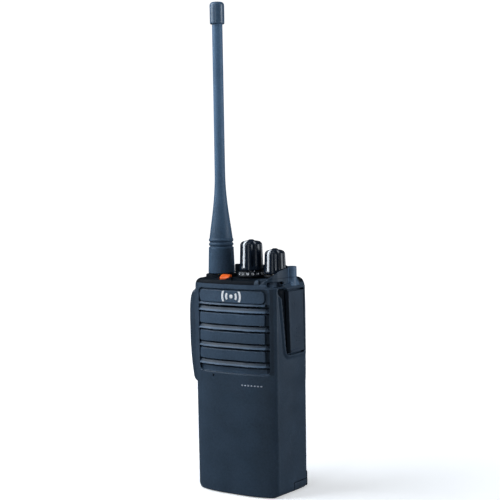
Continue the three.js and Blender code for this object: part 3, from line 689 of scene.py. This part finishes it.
bright_steel = surface("bright_steel", linear(190, 192, 196), 0.25, metallic=1.0, grain=0.15, grain_size=0.8)
plated_brass = surface("plated_brass", linear(214, 178, 96), 0.28, metallic=1.0, grain=0.15, grain_size=0.8)
board_green = surface("board_green", linear(22, 92, 52), 0.35, grain=0.2, grain_size=1.5, vary=0.1, coat=0.2)
felt = surface("felt", linear(16, 16, 18), 0.95, grain=0.9, grain_size=0.25)
cell_wrap = surface("cell_wrap", linear(58, 96, 148), 0.35, grain=0.15, grain_size=2.0, coat=0.2)
clear_lens = surface("clear_lens", linear(196, 206, 200), 0.12, grain=0.05, vary=0.02)
clear_lens.node_tree.nodes["Principled BSDF"].inputs["Transmission Weight"].default_value = 0.6


def dress(obj, material, body, stands_for=()):
    """Gives a new piece its material and the body it rides on, and hides the CAD nodes it stands for."""
    obj.data.materials.clear()
    obj.data.materials.append(material)
    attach(obj, body)
    if stands_for:
        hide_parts(*stands_for)
    return obj


def refine(name, node, field, step, most, material, body):
    """Puts a finer piece, made from a field inside the node's box, in the node's place."""
    low, high = mm_box(node)
    dress(from_field(name, field, low, high, step, most), material, body, [node])


# ---- Case ----
housing = from_field("case", housing_field, HOUSING_LOW, HOUSING_HIGH, 0.42, 190_000)
dress(housing, case_plastic, "radio", ["front_housing"])


def side_cover(p):
    """The dust cover over the accessory socket, with a sloping front edge and a finger lip at its foot."""
    x, y, z = p.T
    form = common(side_panel(y, z, 2.3, 1.52), slab(x, 26.5, 28.15), 0.35)
    lean_y = -1.7 + (113.6 - z) * 0.045
    slope = half_plane(x, y - lean_y, (28.15, 0), (1.7, 2.1))
    form = common(form, slope, 0.35)
    lip = np.hypot((z - 78.6) / 1.0, (x - 28.9) / 0.9) - 1.0
    form = cut(form, common(lip, slab(y, -1.5, 10), 0.4), 0.3)
    ridges = None
    for level in (84.0, 86.2, 88.4, 90.6):
        ridge = block(p, (28.0, 5.5, level - 0.25), (28.32, 9.5, level + 0.25), 0.12)
        ridges = ridge if ridges is None else np.minimum(ridges, ridge)
    ring = np.hypot(np.hypot(y - 3.4, z - 103.4) - 1.5, x - 28.15) - 0.16
    return join(form, np.minimum(ridges, ring), 0.1)


refine("dust_cover", "accessory_cover", side_cover, 0.28, 50_000, cover_rubber, "socket_cover")


def key_field(key):
    """A crowned key cap with raised ribs, and the stem behind it."""
    y0, y1, z0, z1 = key["y0"], key["y1"], key["z0"], key["z1"]
    outer, inner = key["outer"], key["inner"]
    middle = (z0 + z1) / 2

    def field(p):
        x, y, z = p.T
        bow = 0.9 * ((z - middle) / (z1 - middle)) ** 4 * 0.7
        crown = outer + bow + 0.25 * ((y - (y0 + y1) / 2) / 5) ** 2
        cap = common(rectangle(y, z, y0, y1, z0, z1, 1.6), common(crown - x, x - inner), 0.6)
        stem = block(p, (inner - 0.5, -3, middle - 2), (-24.3, 1, middle + 2), 0.2)
        ribs = slab((z - middle + 1.2) % 2.4 - 1.2, -0.45, 0.45)
        area = rectangle(y, z, y0 + 2.2, y1 - 2.2, z0 + 2, z1 - 2, 1)
        ribs = common(common(ribs, area, 0.2), slab(x, outer - 0.1, outer + 0.7), 0.1)
        return join(join(cap, ribs, 0.15), stem, 0.3)

    return field


KEY_BODIES = {"ptt_key": "talk_key", "upper_side_key": "upper_key", "lower_side_key": "lower_key"}
for key_name, body_name in KEY_BODIES.items():
    cap_field = key_field(KEYS[key_name])
    cap_name = key_name.replace("key", "cap")
    refine(cap_name, key_name, cap_field, 0.25, 30_000, key_rubber, body_name)


button_low, button_high = mm_box("emergency_button")


def emergency_field(p):
    """An orange wedge, high at the back and low at its right end."""
    x, y, z = p.T
    form = block(p, button_low + np.array([0, 0, 0.25]), button_high, 0.45)
    chamfer = half_plane(y, z, (button_low[1], button_high[2] - 1.5), (-1.9, -1.3))
    form = common(form, chamfer, 0.35)
    right = half_plane(x, z, (button_high[0] - 1.6, button_high[2]), (-1.8, 0.55))
    form = common(form, right, 0.35)
    groove = slab((x - button_low[0] - 1.0) % 1.8 - 0.9, -0.2, 0.2)
    groove = common(groove, button_high[2] - 0.28 - z)
    groove = common(groove, slab(x, button_low[0] + 0.9, button_high[0] - 1.9))
    return cut(form, common(groove, slab(y, button_low[1] + 1.7, button_high[1] - 0.6)), 0.12)


refine(
    "emergency_cap", "emergency_button", emergency_field, 0.2, 30_000,
    orange_rubber, "emergency_key"
)


# ---- Antenna ----
def antenna_profile():
    corners = [(5.6, 119.9, 0), (7.4, 119.9, 0.4), (7.3, 123, 2), (6.95, 133.4, 0.8), (6.95, 134.2, 0.3)]
    for ring_z in (135.1, 137.4):
        corners += [(6.3, ring_z - 0.55, 0.3), (6.3, ring_z - 0.1, 0.3), (6.85, ring_z + 0.3, 0.3)]
        corners += [(6.85, ring_z + 1.2, 0.3)]
    corners += [(6.45, 139.2, 0.4), (6.3, 140.6, 0.6)]
    flare = [(6.05, 142.5), (5.72, 145), (5.28, 148), (4.72, 152), (4.2, 156), (3.76, 160), (3.4, 164)]
    corners += [(r, z, 2.0) for r, z in [*flare, (3.12, 168)]]
    corners += [(2.96, 172.5, 2.0), (2.9, 190, 0), (2.9, 262.8, 0.3), (1.4, 262.8, 0)]
    return rounded_profile(corners, 6)


antenna_centre = (ANTENNA_X, CONTROLS_Y)
sheath = turned("whip", antenna_centre, antenna_profile(), 96)
dress(sheath, whip_rubber, "antenna", ["antenna_sheath"])
cap_profile = rounded_profile(
    [
        (3.2, 263.2, 0),
        (3.2, 257, 0.2),
        (3.95, 257, 0.4),
        (4.05, 258, 0.8),
        (4.05, 267.9, 1.2),
        (3.0, 269, 0.6),
        (0, 269, 0),
    ]
)
whip_tip = turned("whip_tip", antenna_centre, cap_profile, 96)
tip_gloss = surface(
    "tip_gloss", linear(78, 102, 126), 0.25, grain=0.1, grain_size=0.8, smudge=0.05, level=0.4
)
dress(whip_tip, tip_gloss, "antenna", ["antenna_cap"])


# ---- Knobs ----
GROOVES = 6
GROOVE_AZIMUTH = 48.0
POINTER_AZIMUTH = -7.0


def groove_at(angles):
    """How deep the finger grooves are round a knob, from 0 to 1. Angles are anticlockwise from +X."""
    step = 2 * np.pi / GROOVES
    first = math.radians(GROOVE_AZIMUTH - 90)
    away = (angles - first + step / 2) % step - step / 2
    return np.exp(-((away / math.radians(12.5)) ** 4))


def knob_profile(bottom, top, radius):
    return rounded_profile(
        [
            (2.4, bottom + 4, 0),
            (2.4, bottom, 0.2),
            (radius - 0.25, bottom, 0.3),
            (radius, bottom + 0.5, 0.4),
            (radius - 0.02, bottom + 1.6, 0.5),
            (radius - 0.45, top - 2.4, 1.5),
            (radius - 1.5, top - 1.2, 1.0),
            (radius - 3.3, top - 0.75, 0.5),
            (2.0, top - 0.7, 0.6),
            (1.1, top, 0.6),
            (0, top, 0),
        ],
        6,
    )


def knob_shape(bottom, top, radius):
    def reshape(r, z, angles):
        along = smooth_step(z, bottom + 0.9, bottom + 3.2)
        near_rim = smooth_step(r, radius * 0.3, radius * 0.75)
        r = r - 0.9 * groove_at(angles) * along * near_rim
        z = z - 0.6 * groove_at(angles) * smooth_step(z, top - 3.0, top - 1.2) * near_rim
        return r, z

    return reshape


def fine_profile(profile, spacing):
    """The same line with points no further apart than spacing."""
    out = [profile[0]]
    for a, b in zip(profile[:-1], profile[1:]):
        count = max(1, int(np.ceil(np.hypot(*(b - a)) / spacing)))
        out += [a + (b - a) * (k + 1) / count for k in range(count)]
    return np.array(out)


def pointer_strip(name, x0, bottom, top, radius):
    """A white bar inlaid in a groove of a knob, from its skirt over its top edge."""
    profile = fine_profile(knob_profile(bottom, top, radius), 0.25)
    start = int(np.argmax((profile[:, 0] > radius - 1) & (profile[:, 1] > bottom + 1.3)))
    path = profile[start:]
    path = path[path[:, 0] > radius - 2.8]
    width = np.linspace(-1, 1, 9)
    angles = math.radians(POINTER_AZIMUTH - 90) + width[None, :] * (0.85 / path[:, :1])
    rise = 0.06 * np.ones_like(width)
    rise[[0, -1]] = -0.15
    tangent = np.gradient(path, axis=0)
    normal = np.stack([tangent[:, 1], -tangent[:, 0]], 1)
    normal /= np.hypot(*normal.T)[:, None]
    lift = rise[None, :] * np.ones((len(path), 1))
    lift[[0, -1]] = -0.15
    r = path[:, :1] + normal[:, :1] * lift
    z = path[:, 1:] + normal[:, 1:] * lift
    points = np.stack([x0 + r * np.cos(angles), CONTROLS_Y + r * np.sin(angles), z], -1).reshape(-1, 3)
    across = len(width)
    starts = [i * across + j for i in range(len(path) - 1) for j in range(across - 1)]
    faces = np.array([(a, a + 1, a + across + 1, a + across) for a in starts])
    piece = new_object(name, points, faces)
    depth = piece.modifiers.new("depth", "SOLIDIFY")
    depth.thickness = 1.1 * MM
    depth.offset = -1
    return piece


def add_knob(kind, x0):
    low, high = mm_box(f"{kind}_knob")
    bottom, top, radius = low[2], high[2], (high[0] - low[0]) / 2
    profile = fine_profile(knob_profile(bottom, top, radius), 0.45)
    knob = turned(f"{kind}_grip", (x0, CONTROLS_Y), profile, 216, knob_shape(bottom, top, radius))
    dress(knob, gloss_black, f"{kind}_selector", [f"{kind}_knob"])
    strip = pointer_strip(f"{kind}_line", x0, bottom, top, radius)
    dress(strip, white_ink, f"{kind}_selector", [f"{kind}_pointer"])


add_knob("channel", CHANNEL_X)
add_knob("volume", VOLUME_X)

dial_profile = rounded_profile(
    [
        (5.6, 118.9, 0),
        (7.55, 118.9, 0.2),
        (7.55, 119.3, 0.3),
        (6.85, 121.45, 0.3),
        (5.6, 121.45, 0.1),
        (5.6, 119.2, 0),
    ]
)
dial = turned("channel_ring", (CHANNEL_X, CONTROLS_Y), dial_profile, 128)
dress(dial, black_plastic, "radio", ["channel_dial"])
ring_profile = rounded_profile(
    [(5.3, 118.9, 0), (6.02, 118.9, 0.2), (5.95, 119.95, 0.3), (5.3, 119.95, 0.1), (5.3, 119.2, 0)]
)
ring = turned("volume_ring", (VOLUME_X, CONTROLS_Y), ring_profile, 128)
dress(ring, black_plastic, "radio", ["volume_dial"])


def dial_numbers():
    """The numbers round the channel dial, 1 where the pointer rests, as one mesh on the sloping ring."""
    points, faces = [], []
    lean = math.atan2(0.7, 2.15)
    for k in range(16):
        data = bpy.data.curves.new("number", "FONT")
        data.body = str(k + 1)
        data.align_x = "CENTER"
        data.align_y = "CENTER"
        data.size = 1.75
        data.offset = 0.02
        data.extrude = 0.05
        data.space_character = 0.92
        text = in_scene("number", data)
        graph = bpy.context.evaluated_depsgraph_get()
        mesh = bpy.data.meshes.new_from_object(text.evaluated_get(graph))
        bpy.data.objects.remove(text)
        azimuth = math.radians(POINTER_AZIMUTH - 22.5 * k)
        out = np.array((math.sin(azimuth), -math.cos(azimuth), 0))
        right = np.array((math.cos(azimuth), math.sin(azimuth), 0))
        up = np.array((0, 0, math.cos(lean))) - out * math.sin(lean)
        face = np.cross(right, up)
        middle = np.array((CHANNEL_X, CONTROLS_Y, 120.32)) + out * 7.22
        flat = np.array([v.co[:] for v in mesh.vertices])
        start = len(points)
        points += list(middle + flat[:, :1] * right + flat[:, 1:2] * up + flat[:, 2:] * face)
        faces += [[start + i for i in polygon.vertices] for polygon in mesh.polygons]
        bpy.data.meshes.remove(mesh)
    mesh = bpy.data.meshes.new("channel_numbers")
    mesh.from_pydata((np.array(points) * MM).tolist(), [], faces)
    return in_scene("channel_numbers", mesh)


dress(dial_numbers(), white_ink, "radio")

lens_low, lens_high = mm_box("led_lens")
foot, top = lens_low[2], lens_high[2]
lens_profile = rounded_profile(
    [(0, foot, 0), (1.5, foot, 0.1), (1.5, top - 0.3, 0.4), (0.9, top, 0.5), (0, top, 0)]
)
lens = turned("status_light", tuple((lens_low + lens_high)[:2] / 2), lens_profile, 48)
dress(lens, clear_lens, "radio", ["led_lens"])


# ---- Marks on the case, all of them plain shapes ----
def badge_field(p):
    """A dot with two arcs on each side, standing just proud of the top plate."""
    x, y, z = p.T
    half = half_width(z)
    u, v = x - 0.5, z - 108.7
    reach = np.hypot(u, v)
    shape = reach - 1.1
    for radius in (3.2, 5.8):
        arc = np.abs(reach - radius) - 0.65
        wedge = np.abs(v) - np.abs(u) * 0.62
        shape = np.minimum(shape, common(arc, wedge * 0.85, 0.15))
    shape = common(shape, np.abs(v) - 2.9, 0.2)
    deep = front_distance(x, y, half) + 0.45
    return common(shape, slab(deep, -0.3, 0.12), 0.05)


def side_bars(p):
    """A column of seven bars low on the right side."""
    x, y, z = p.T
    pitch = 4.15
    middle = 40.2
    bars = rectangle(y, (z - middle + pitch / 2) % pitch - pitch / 2, 2.6, 5.4, -1.45, 1.45, 0.6)
    bars = common(bars, slab(z, middle - 3.5 * pitch, middle + 3.5 * pitch))
    return common(bars, slab(x - half_width(z), -0.25, 0.09), 0.05)


def small_dots(p):
    """A row of seven dots below the speaker."""
    x, y, z = p.T
    pitch = 1.9
    middle = 12.8
    u = (x - middle + pitch / 2) % pitch - pitch / 2
    dots = rectangle(u, z, -0.55, 0.55, 60.6, 61.4, 0.3)
    dots = common(dots, slab(x, middle - 3.5 * pitch, middle + 3.5 * pitch))
    deep = front_distance(x, y, half_width(z))
    return common(dots, slab(deep, -0.25, 0.07), 0.04)


badge = from_field("signal_badge", badge_field, (-6.6, -17.5, 104.5), (7.6, -14, 113), 0.16, 40_000)
dress(badge, white_ink, "radio")
bars = from_field("side_bars", side_bars, (26, 2, 24.5), (27.6, 6, 56), 0.16, 30_000)
dress(bars, white_ink, "radio")
dots = from_field("small_dots", small_dots, (5, -17, 60), (20.5, -12, 62), 0.13, 20_000)
dress(dots, grey_ink, "radio")


# ---- Battery ----
def battery_field(p):
    """The battery's outer shell, with finger ribs low on its back."""
    x, y, z = p.T
    shell = block(p, (-24.4, 5, 4.7), (24.4, BACK_Y, 100.6), 0.8)
    foot = common(common(case_form(p), 3.2 - y, 0.3), z - 5.7, 0.4)
    f = join(shell, foot, 0.3)
    ribs = slab((z - 18) % 2.6 - 1.3, -0.5, 0.5)
    ribs = common(common(ribs, rectangle(x, z, -15, 15, 13.3, 33.5, 3), 0.3), 15.75 - y, 0.1)
    f = cut(f, ribs, 0.25)
    label = common(rectangle(x, z, -19, 19, 38, 80, 2.5), BACK_Y - 0.3 - y, 0.05)
    f = cut(f, label, 0.15)
    f = cut(f, block(p, (-22.6, 0, 8.6), (22.6, 14.4, 98.6), 0.5), 0.1)
    f = cut(f, block(p, (-7.4, 6, 98), (7.4, 12, 102), 0.4), 0.2)
    return cut(f, block(p, (-2.2, 13.2, 1.6), (2.2, 17, 8.2), 0.3), 0.2)


refine(
    "battery_shell", "battery_case", battery_field, 0.42, 90_000, battery_plastic, "battery_pack"
)

latch_low, latch_high = mm_box("battery_latch")


def latch_field(p):
    x, y, z = p.T
    bar = block(p, (latch_low[0], 16.5, latch_low[2]), (latch_high[0], latch_high[1], latch_high[2]), 0.7)
    scoop = np.hypot((y - 19.4) / 1.0, (z - 6.2) / 2.2) - 1.35
    bar = cut(bar, common(scoop, np.abs(x) - 11, 0.8), 0.4)
    ribs = slab((x + 1.1) % 2.2 - 1.1, -0.35, 0.35)
    ribs = common(common(ribs, np.abs(x) - 9.5), rectangle(y, z, 16.6, 18.3, 3.2, 8.4, 0.4), 0.1)
    bar = join(bar, ribs, 0.15)
    return join(bar, block(p, (-1.6, 13.9, 2), (1.6, 17, 2.9), 0.2), 0.2)


refine("latch_bar", "battery_latch", latch_field, 0.26, 50_000, black_plastic, "latch")

LATCH_COIL_TURNS = 4
coil_angles = np.linspace(0, 2 * np.pi * LATCH_COIL_TURNS, 24 * LATCH_COIL_TURNS + 1)
coil = [(1.1 * math.cos(a), 15 + 1.1 * math.sin(a), 3.5 + 4.2 * a / coil_angles[-1]) for a in coil_angles]
dress(swept_tube("latch_coil", coil, 0.25), bright_steel, "latch", ["latch_spring"])


# ---- Belt clip ----
PIN_Y, PIN_Z = 20.9, 97.0
PIN_HOLE = 1.35
SCREW_X, SCREW_Z = 5, 88.5
TORSION_TURNS = 6


def curve_points(start, control, end, count=9):
    """Points along a curve that leaves start towards control and reaches end from control."""
    start, control, end = (np.array(q, float) for q in (start, control, end))
    steps = np.linspace(0, 1, count)
    return [tuple((1 - t) ** 2 * start + 2 * t * (1 - t) * control + t * t * end) for t in steps]


CLIP_PATH = [(24.45, 117.05), (24.45, 58.0), *curve_points((24.45, 58), (24.45, 48.6), (17.6, 47.4))[1:]]


def clip_field(p):
    """A long plate with a ribbed thumb pad, curling in at its foot, and two knuckles on the pin."""
    x, y, z = p.T
    plate = path_distance(y, z, CLIP_PATH) - 0.92
    half = 13 - 2.5 * smooth_step(z, 66, 47)
    plate = common(plate, np.abs(x) - half, 0.7)
    corners = rectangle(x, z, -13, 13, 40, 118, 3.5)
    plate = common(plate, corners, 0.4)
    ribs = slab((z - 104.5) % 2.2 - 1.1, -0.5, 0.5)
    ribs = common(common(ribs, rectangle(x, z, -8.5, 8.5, 104.4, 115.4, 1.2), 0.2), 25.0 - y, 0.1)
    plate = cut(plate, ribs, 0.2)
    channel = common(rectangle(x, z, -7.5, 7.5, 60, 92, 3), 24.95 - y, 0.1)
    plate = cut(plate, channel, 0.3)
    barrel = np.hypot(y - PIN_Y, z - PIN_Z) - 2.5
    web = rectangle(y, z, PIN_Y, 24, PIN_Z - 2.3, PIN_Z + 2.3, 0.2)
    knuckle = common(join(barrel, web, 0.3), slab(np.abs(x), 4.3, 8.2), 0.25)
    f = join(plate, knuckle, 0.5)
    return cut(f, np.hypot(y - PIN_Y, z - PIN_Z) - PIN_HOLE, 0.15)


refine("clip_arm", "clip_lever", clip_field, 0.34, 80_000, black_plastic, "belt_clip")


def bracket_field(p):
    """The plate that the clip hangs on, with an ear at each end of the pin."""
    x, y, z = p.T
    f = block(p, (-11, 16.5, 84), (11, 18.2, 100), 0.5)
    ears = common(rectangle(y, z, 16.6, 23.1, 93.6, 100, 1.8), slab(np.abs(x), 8.6, 11), 0.3)
    f = join(f, ears, 0.5)
    f = cut(f, np.hypot(y - PIN_Y, z - PIN_Z) - PIN_HOLE, 0.12)
    for screw_x in (-SCREW_X, SCREW_X):
        f = cut(f, np.hypot(x - screw_x, z - SCREW_Z) - 1.3, 0.12)
    return f


refine(
    "clip_mount", "clip_bracket", bracket_field, 0.3, 40_000, black_plastic, "battery_pack"
)

turns = np.linspace(0, 2 * np.pi * TORSION_TURNS, 24 * TORSION_TURNS + 1)
spring = [(-3.3 + 6.6 * a / turns[-1], PIN_Y + 1.95 * math.cos(a), PIN_Z + 1.95 * math.sin(a)) for a in turns]
spring = [(-3.3, 22.6, 92.0), (-3.3, 22.85, 95)] + spring + [(3.3, 22.85, 95), (3.3, 22.6, 92.0)]
dress(swept_tube("clip_torsion_spring", spring, 0.38), bright_steel, "battery_pack", ["clip_spring"])


def screw_field(x0, z0, low_y, head_y, top_y, shank, head, socket):
    """A screw along Y with a rounded head and a six-lobed socket."""

    def field(p):
        x, y, z = p.T
        r = np.hypot(x - x0, z - z0)
        angle = np.arctan2(z - z0, x - x0)
        f = common(r - head, slab(y, head_y, top_y), 0.3)
        f = join(f, common(r - shank, slab(y, low_y, head_y + 0.2), 0.1), 0.05)
        lobes = r - socket * (1 + 0.12 * np.cos(6 * angle))
        return cut(f, common(lobes, top_y - 0.7 - y), 0.06)

    return field


for side, x0 in (("left", -SCREW_X), ("right", SCREW_X)):
    node = f"clip_screw_{side}"
    low, high = mm_box(node)
    bolt = screw_field(x0, SCREW_Z, low[1], 18.5, high[1], 1.0, 2.1, 0.95)
    refine(f"clip_bolt_{side}", node, bolt, 0.14, 20_000, bright_steel, "battery_pack")
    node = f"chassis_screw_{side}"
    low, high = mm_box(node)
    bolt = screw_field(centre_x(node), 109.5, low[1], 15.2, high[1], 1.3, 2.6, 1.2)
    refine(f"chassis_bolt_{side}", node, bolt, 0.16, 20_000, bright_steel, "radio")


# ---- CAD pieces that keep their shape and get a finish ----
CARRIED = [
    (cast_alloy, "chassis speaker_frame"),
    (board_green, "main_board ptt_switch_board battery_board"),
    (bright_steel, "rf_shield speaker_magnet microphone antenna_core channel_shaft volume_shaft clip_pin"),
    (felt, "speaker_felt speaker_cone"),
    (black_plastic, "accessory_connector emergency_switch channel_encoder volume_control battery_tray"),
    (plated_brass, "battery_terminals antenna_socket channel_nut volume_nut antenna_stud battery_contacts"),
    (key_rubber, "antenna_gasket"),
    (cell_wrap, "battery_lower_cell battery_upper_cell"),
]


def finish_cad_piece(obj, material):
    """Gives a CAD piece a material and breaks its sharp edges."""
    if not obj.material_slots:
        obj.data.materials.append(material)
    for place in obj.material_slots:
        place.material = material
    weld = obj.modifiers.new("weld", "WELD")
    weld.merge_threshold = 1e-6
    bevel = obj.modifiers.new("bevel", "BEVEL")
    bevel.width = 0.12 * MM
    bevel.segments = 2
    bevel.limit_method = "ANGLE"
    bevel.angle_limit = math.radians(40)


for carried_material, node_names in CARRIED:
    for node_name in node_names.split():
        finish_cad_piece(nodes[node_name], carried_material)


# ---- Camera, light and floor ----
CAMERA = dict(lens=87.32, sensor=36, azimuth=34, elevation=3.63, roll=-0.97, distance=0.665)
AIM = (0.0024, 0, 0.1329)
LIGHT_COLOUR = (0.86, 0.93, 1.0)


def direction(azimuth, elevation):
    """A unit vector. Azimuth is in degrees from the front towards the right side."""
    a, e = math.radians(azimuth), math.radians(elevation)
    return Vector((math.sin(a) * math.cos(e), -math.cos(a) * math.cos(e), math.sin(e)))


def add_camera():
    data = bpy.data.cameras.new("camera")
    data.lens, data.sensor_width = CAMERA["lens"], CAMERA["sensor"]
    camera = in_scene("camera", data)
    back = direction(CAMERA["azimuth"], CAMERA["elevation"])
    camera.location = Vector(AIM) + back * CAMERA["distance"]
    camera.rotation_mode = "QUATERNION"
    roll = Quaternion((0, 0, 1), math.radians(CAMERA["roll"]))
    camera.rotation_quaternion = (-back).to_track_quat("-Z", "Y") @ roll
    bpy.context.scene.camera = camera


def add_soft_light(name, azimuth, elevation, distance, size, power, height=0.12):
    """A rectangular lamp that looks at a point on the radio's axis at this height."""
    data = bpy.data.lights.new(name, "AREA")
    data.color = LIGHT_COLOUR
    data.shape = "RECTANGLE"
    data.size, data.size_y = size
    data.energy = power
    light = in_scene(name, data)
    out = direction(azimuth, elevation)
    light.location = Vector((0, 0, height)) + out * distance
    light.rotation_mode = "QUATERNION"
    light.rotation_quaternion = out.to_track_quat("Z", "Y")


def glowing(name, colour, near, far, start, end):
    """A pale paint that also glows, from near to far as the distance from the origin goes from
    start to end."""
    material = surface(name, colour, 0.6, vary=0.01, grain_size=3)
    tree = material.node_tree
    shader = tree.nodes["Principled BSDF"]
    place = tree.nodes.new("ShaderNodeTexCoord")
    length = tree.nodes.new("ShaderNodeVectorMath")
    length.operation = "LENGTH"
    tree.links.new(place.outputs["Object"], length.inputs[0])
    ramp = map_range(tree, length.outputs["Value"], (start, end), (near, far))
    ramp.interpolation_type = "SMOOTHSTEP"
    shader.inputs["Emission Color"].default_value = (1, 1, 1, 1)
    tree.links.new(ramp.outputs["Result"], shader.inputs["Emission Strength"])
    return material


def stage_piece(name, points, faces, material):
    """A piece of the studio: seen by the camera, but it throws no light of its own on the radio."""
    piece = new_object(name, np.array(points) / MM, faces)
    piece.data.materials.append(material)
    piece.visible_diffuse = False
    piece.visible_glossy = False


def add_studio():
    """A pale floor inside a round backdrop, a dim world and four soft lights."""
    half, radius, count = 6.0, 5, 64
    pale = (0.9, 0.91, 0.93)
    corners = [(-half, -half, 0), (half, -half, 0), (half, half, 0), (-half, half, 0)]
    stage_piece("floor", corners, [(0, 1, 2, 3)], glowing("floor_paint", pale, 0.45, 1.0, 0.08, 0.7))
    turn = np.linspace(0, 2 * np.pi, count, endpoint=False)
    ring = [(radius * math.cos(a), radius * math.sin(a), z) for z in (-0.2, 4.0) for a in turn]
    sides = [(k, (k + 1) % count, count + (k + 1) % count, count + k) for k in range(count)]
    stage_piece("backdrop", ring, sides, glowing("backdrop_paint", pale, 1.0, 1.0, 0, 1))
    world = bpy.data.worlds.new("studio")
    bpy.context.scene.world = world
    world.use_nodes = True
    world.node_tree.nodes["Background"].inputs["Color"].default_value = (0.9, 0.95, 1, 1)
    world.node_tree.nodes["Background"].inputs["Strength"].default_value = 0.1
    add_soft_light("left_box", -55, 32, 0.9, (0.8, 0.8), 9.5)
    add_soft_light("right_box", 112, 8, 0.8, (0.4, 0.5), 3.6)
    add_soft_light("top_box", -10, 75, 1.1, (0.6, 0.6), 2.0)
    add_soft_light("front_strip", 5, 14, 0.9, (0.14, 0.8), 1.2)


add_camera()
add_studio()
bpy.context.scene.view_settings.view_transform = "Standard"
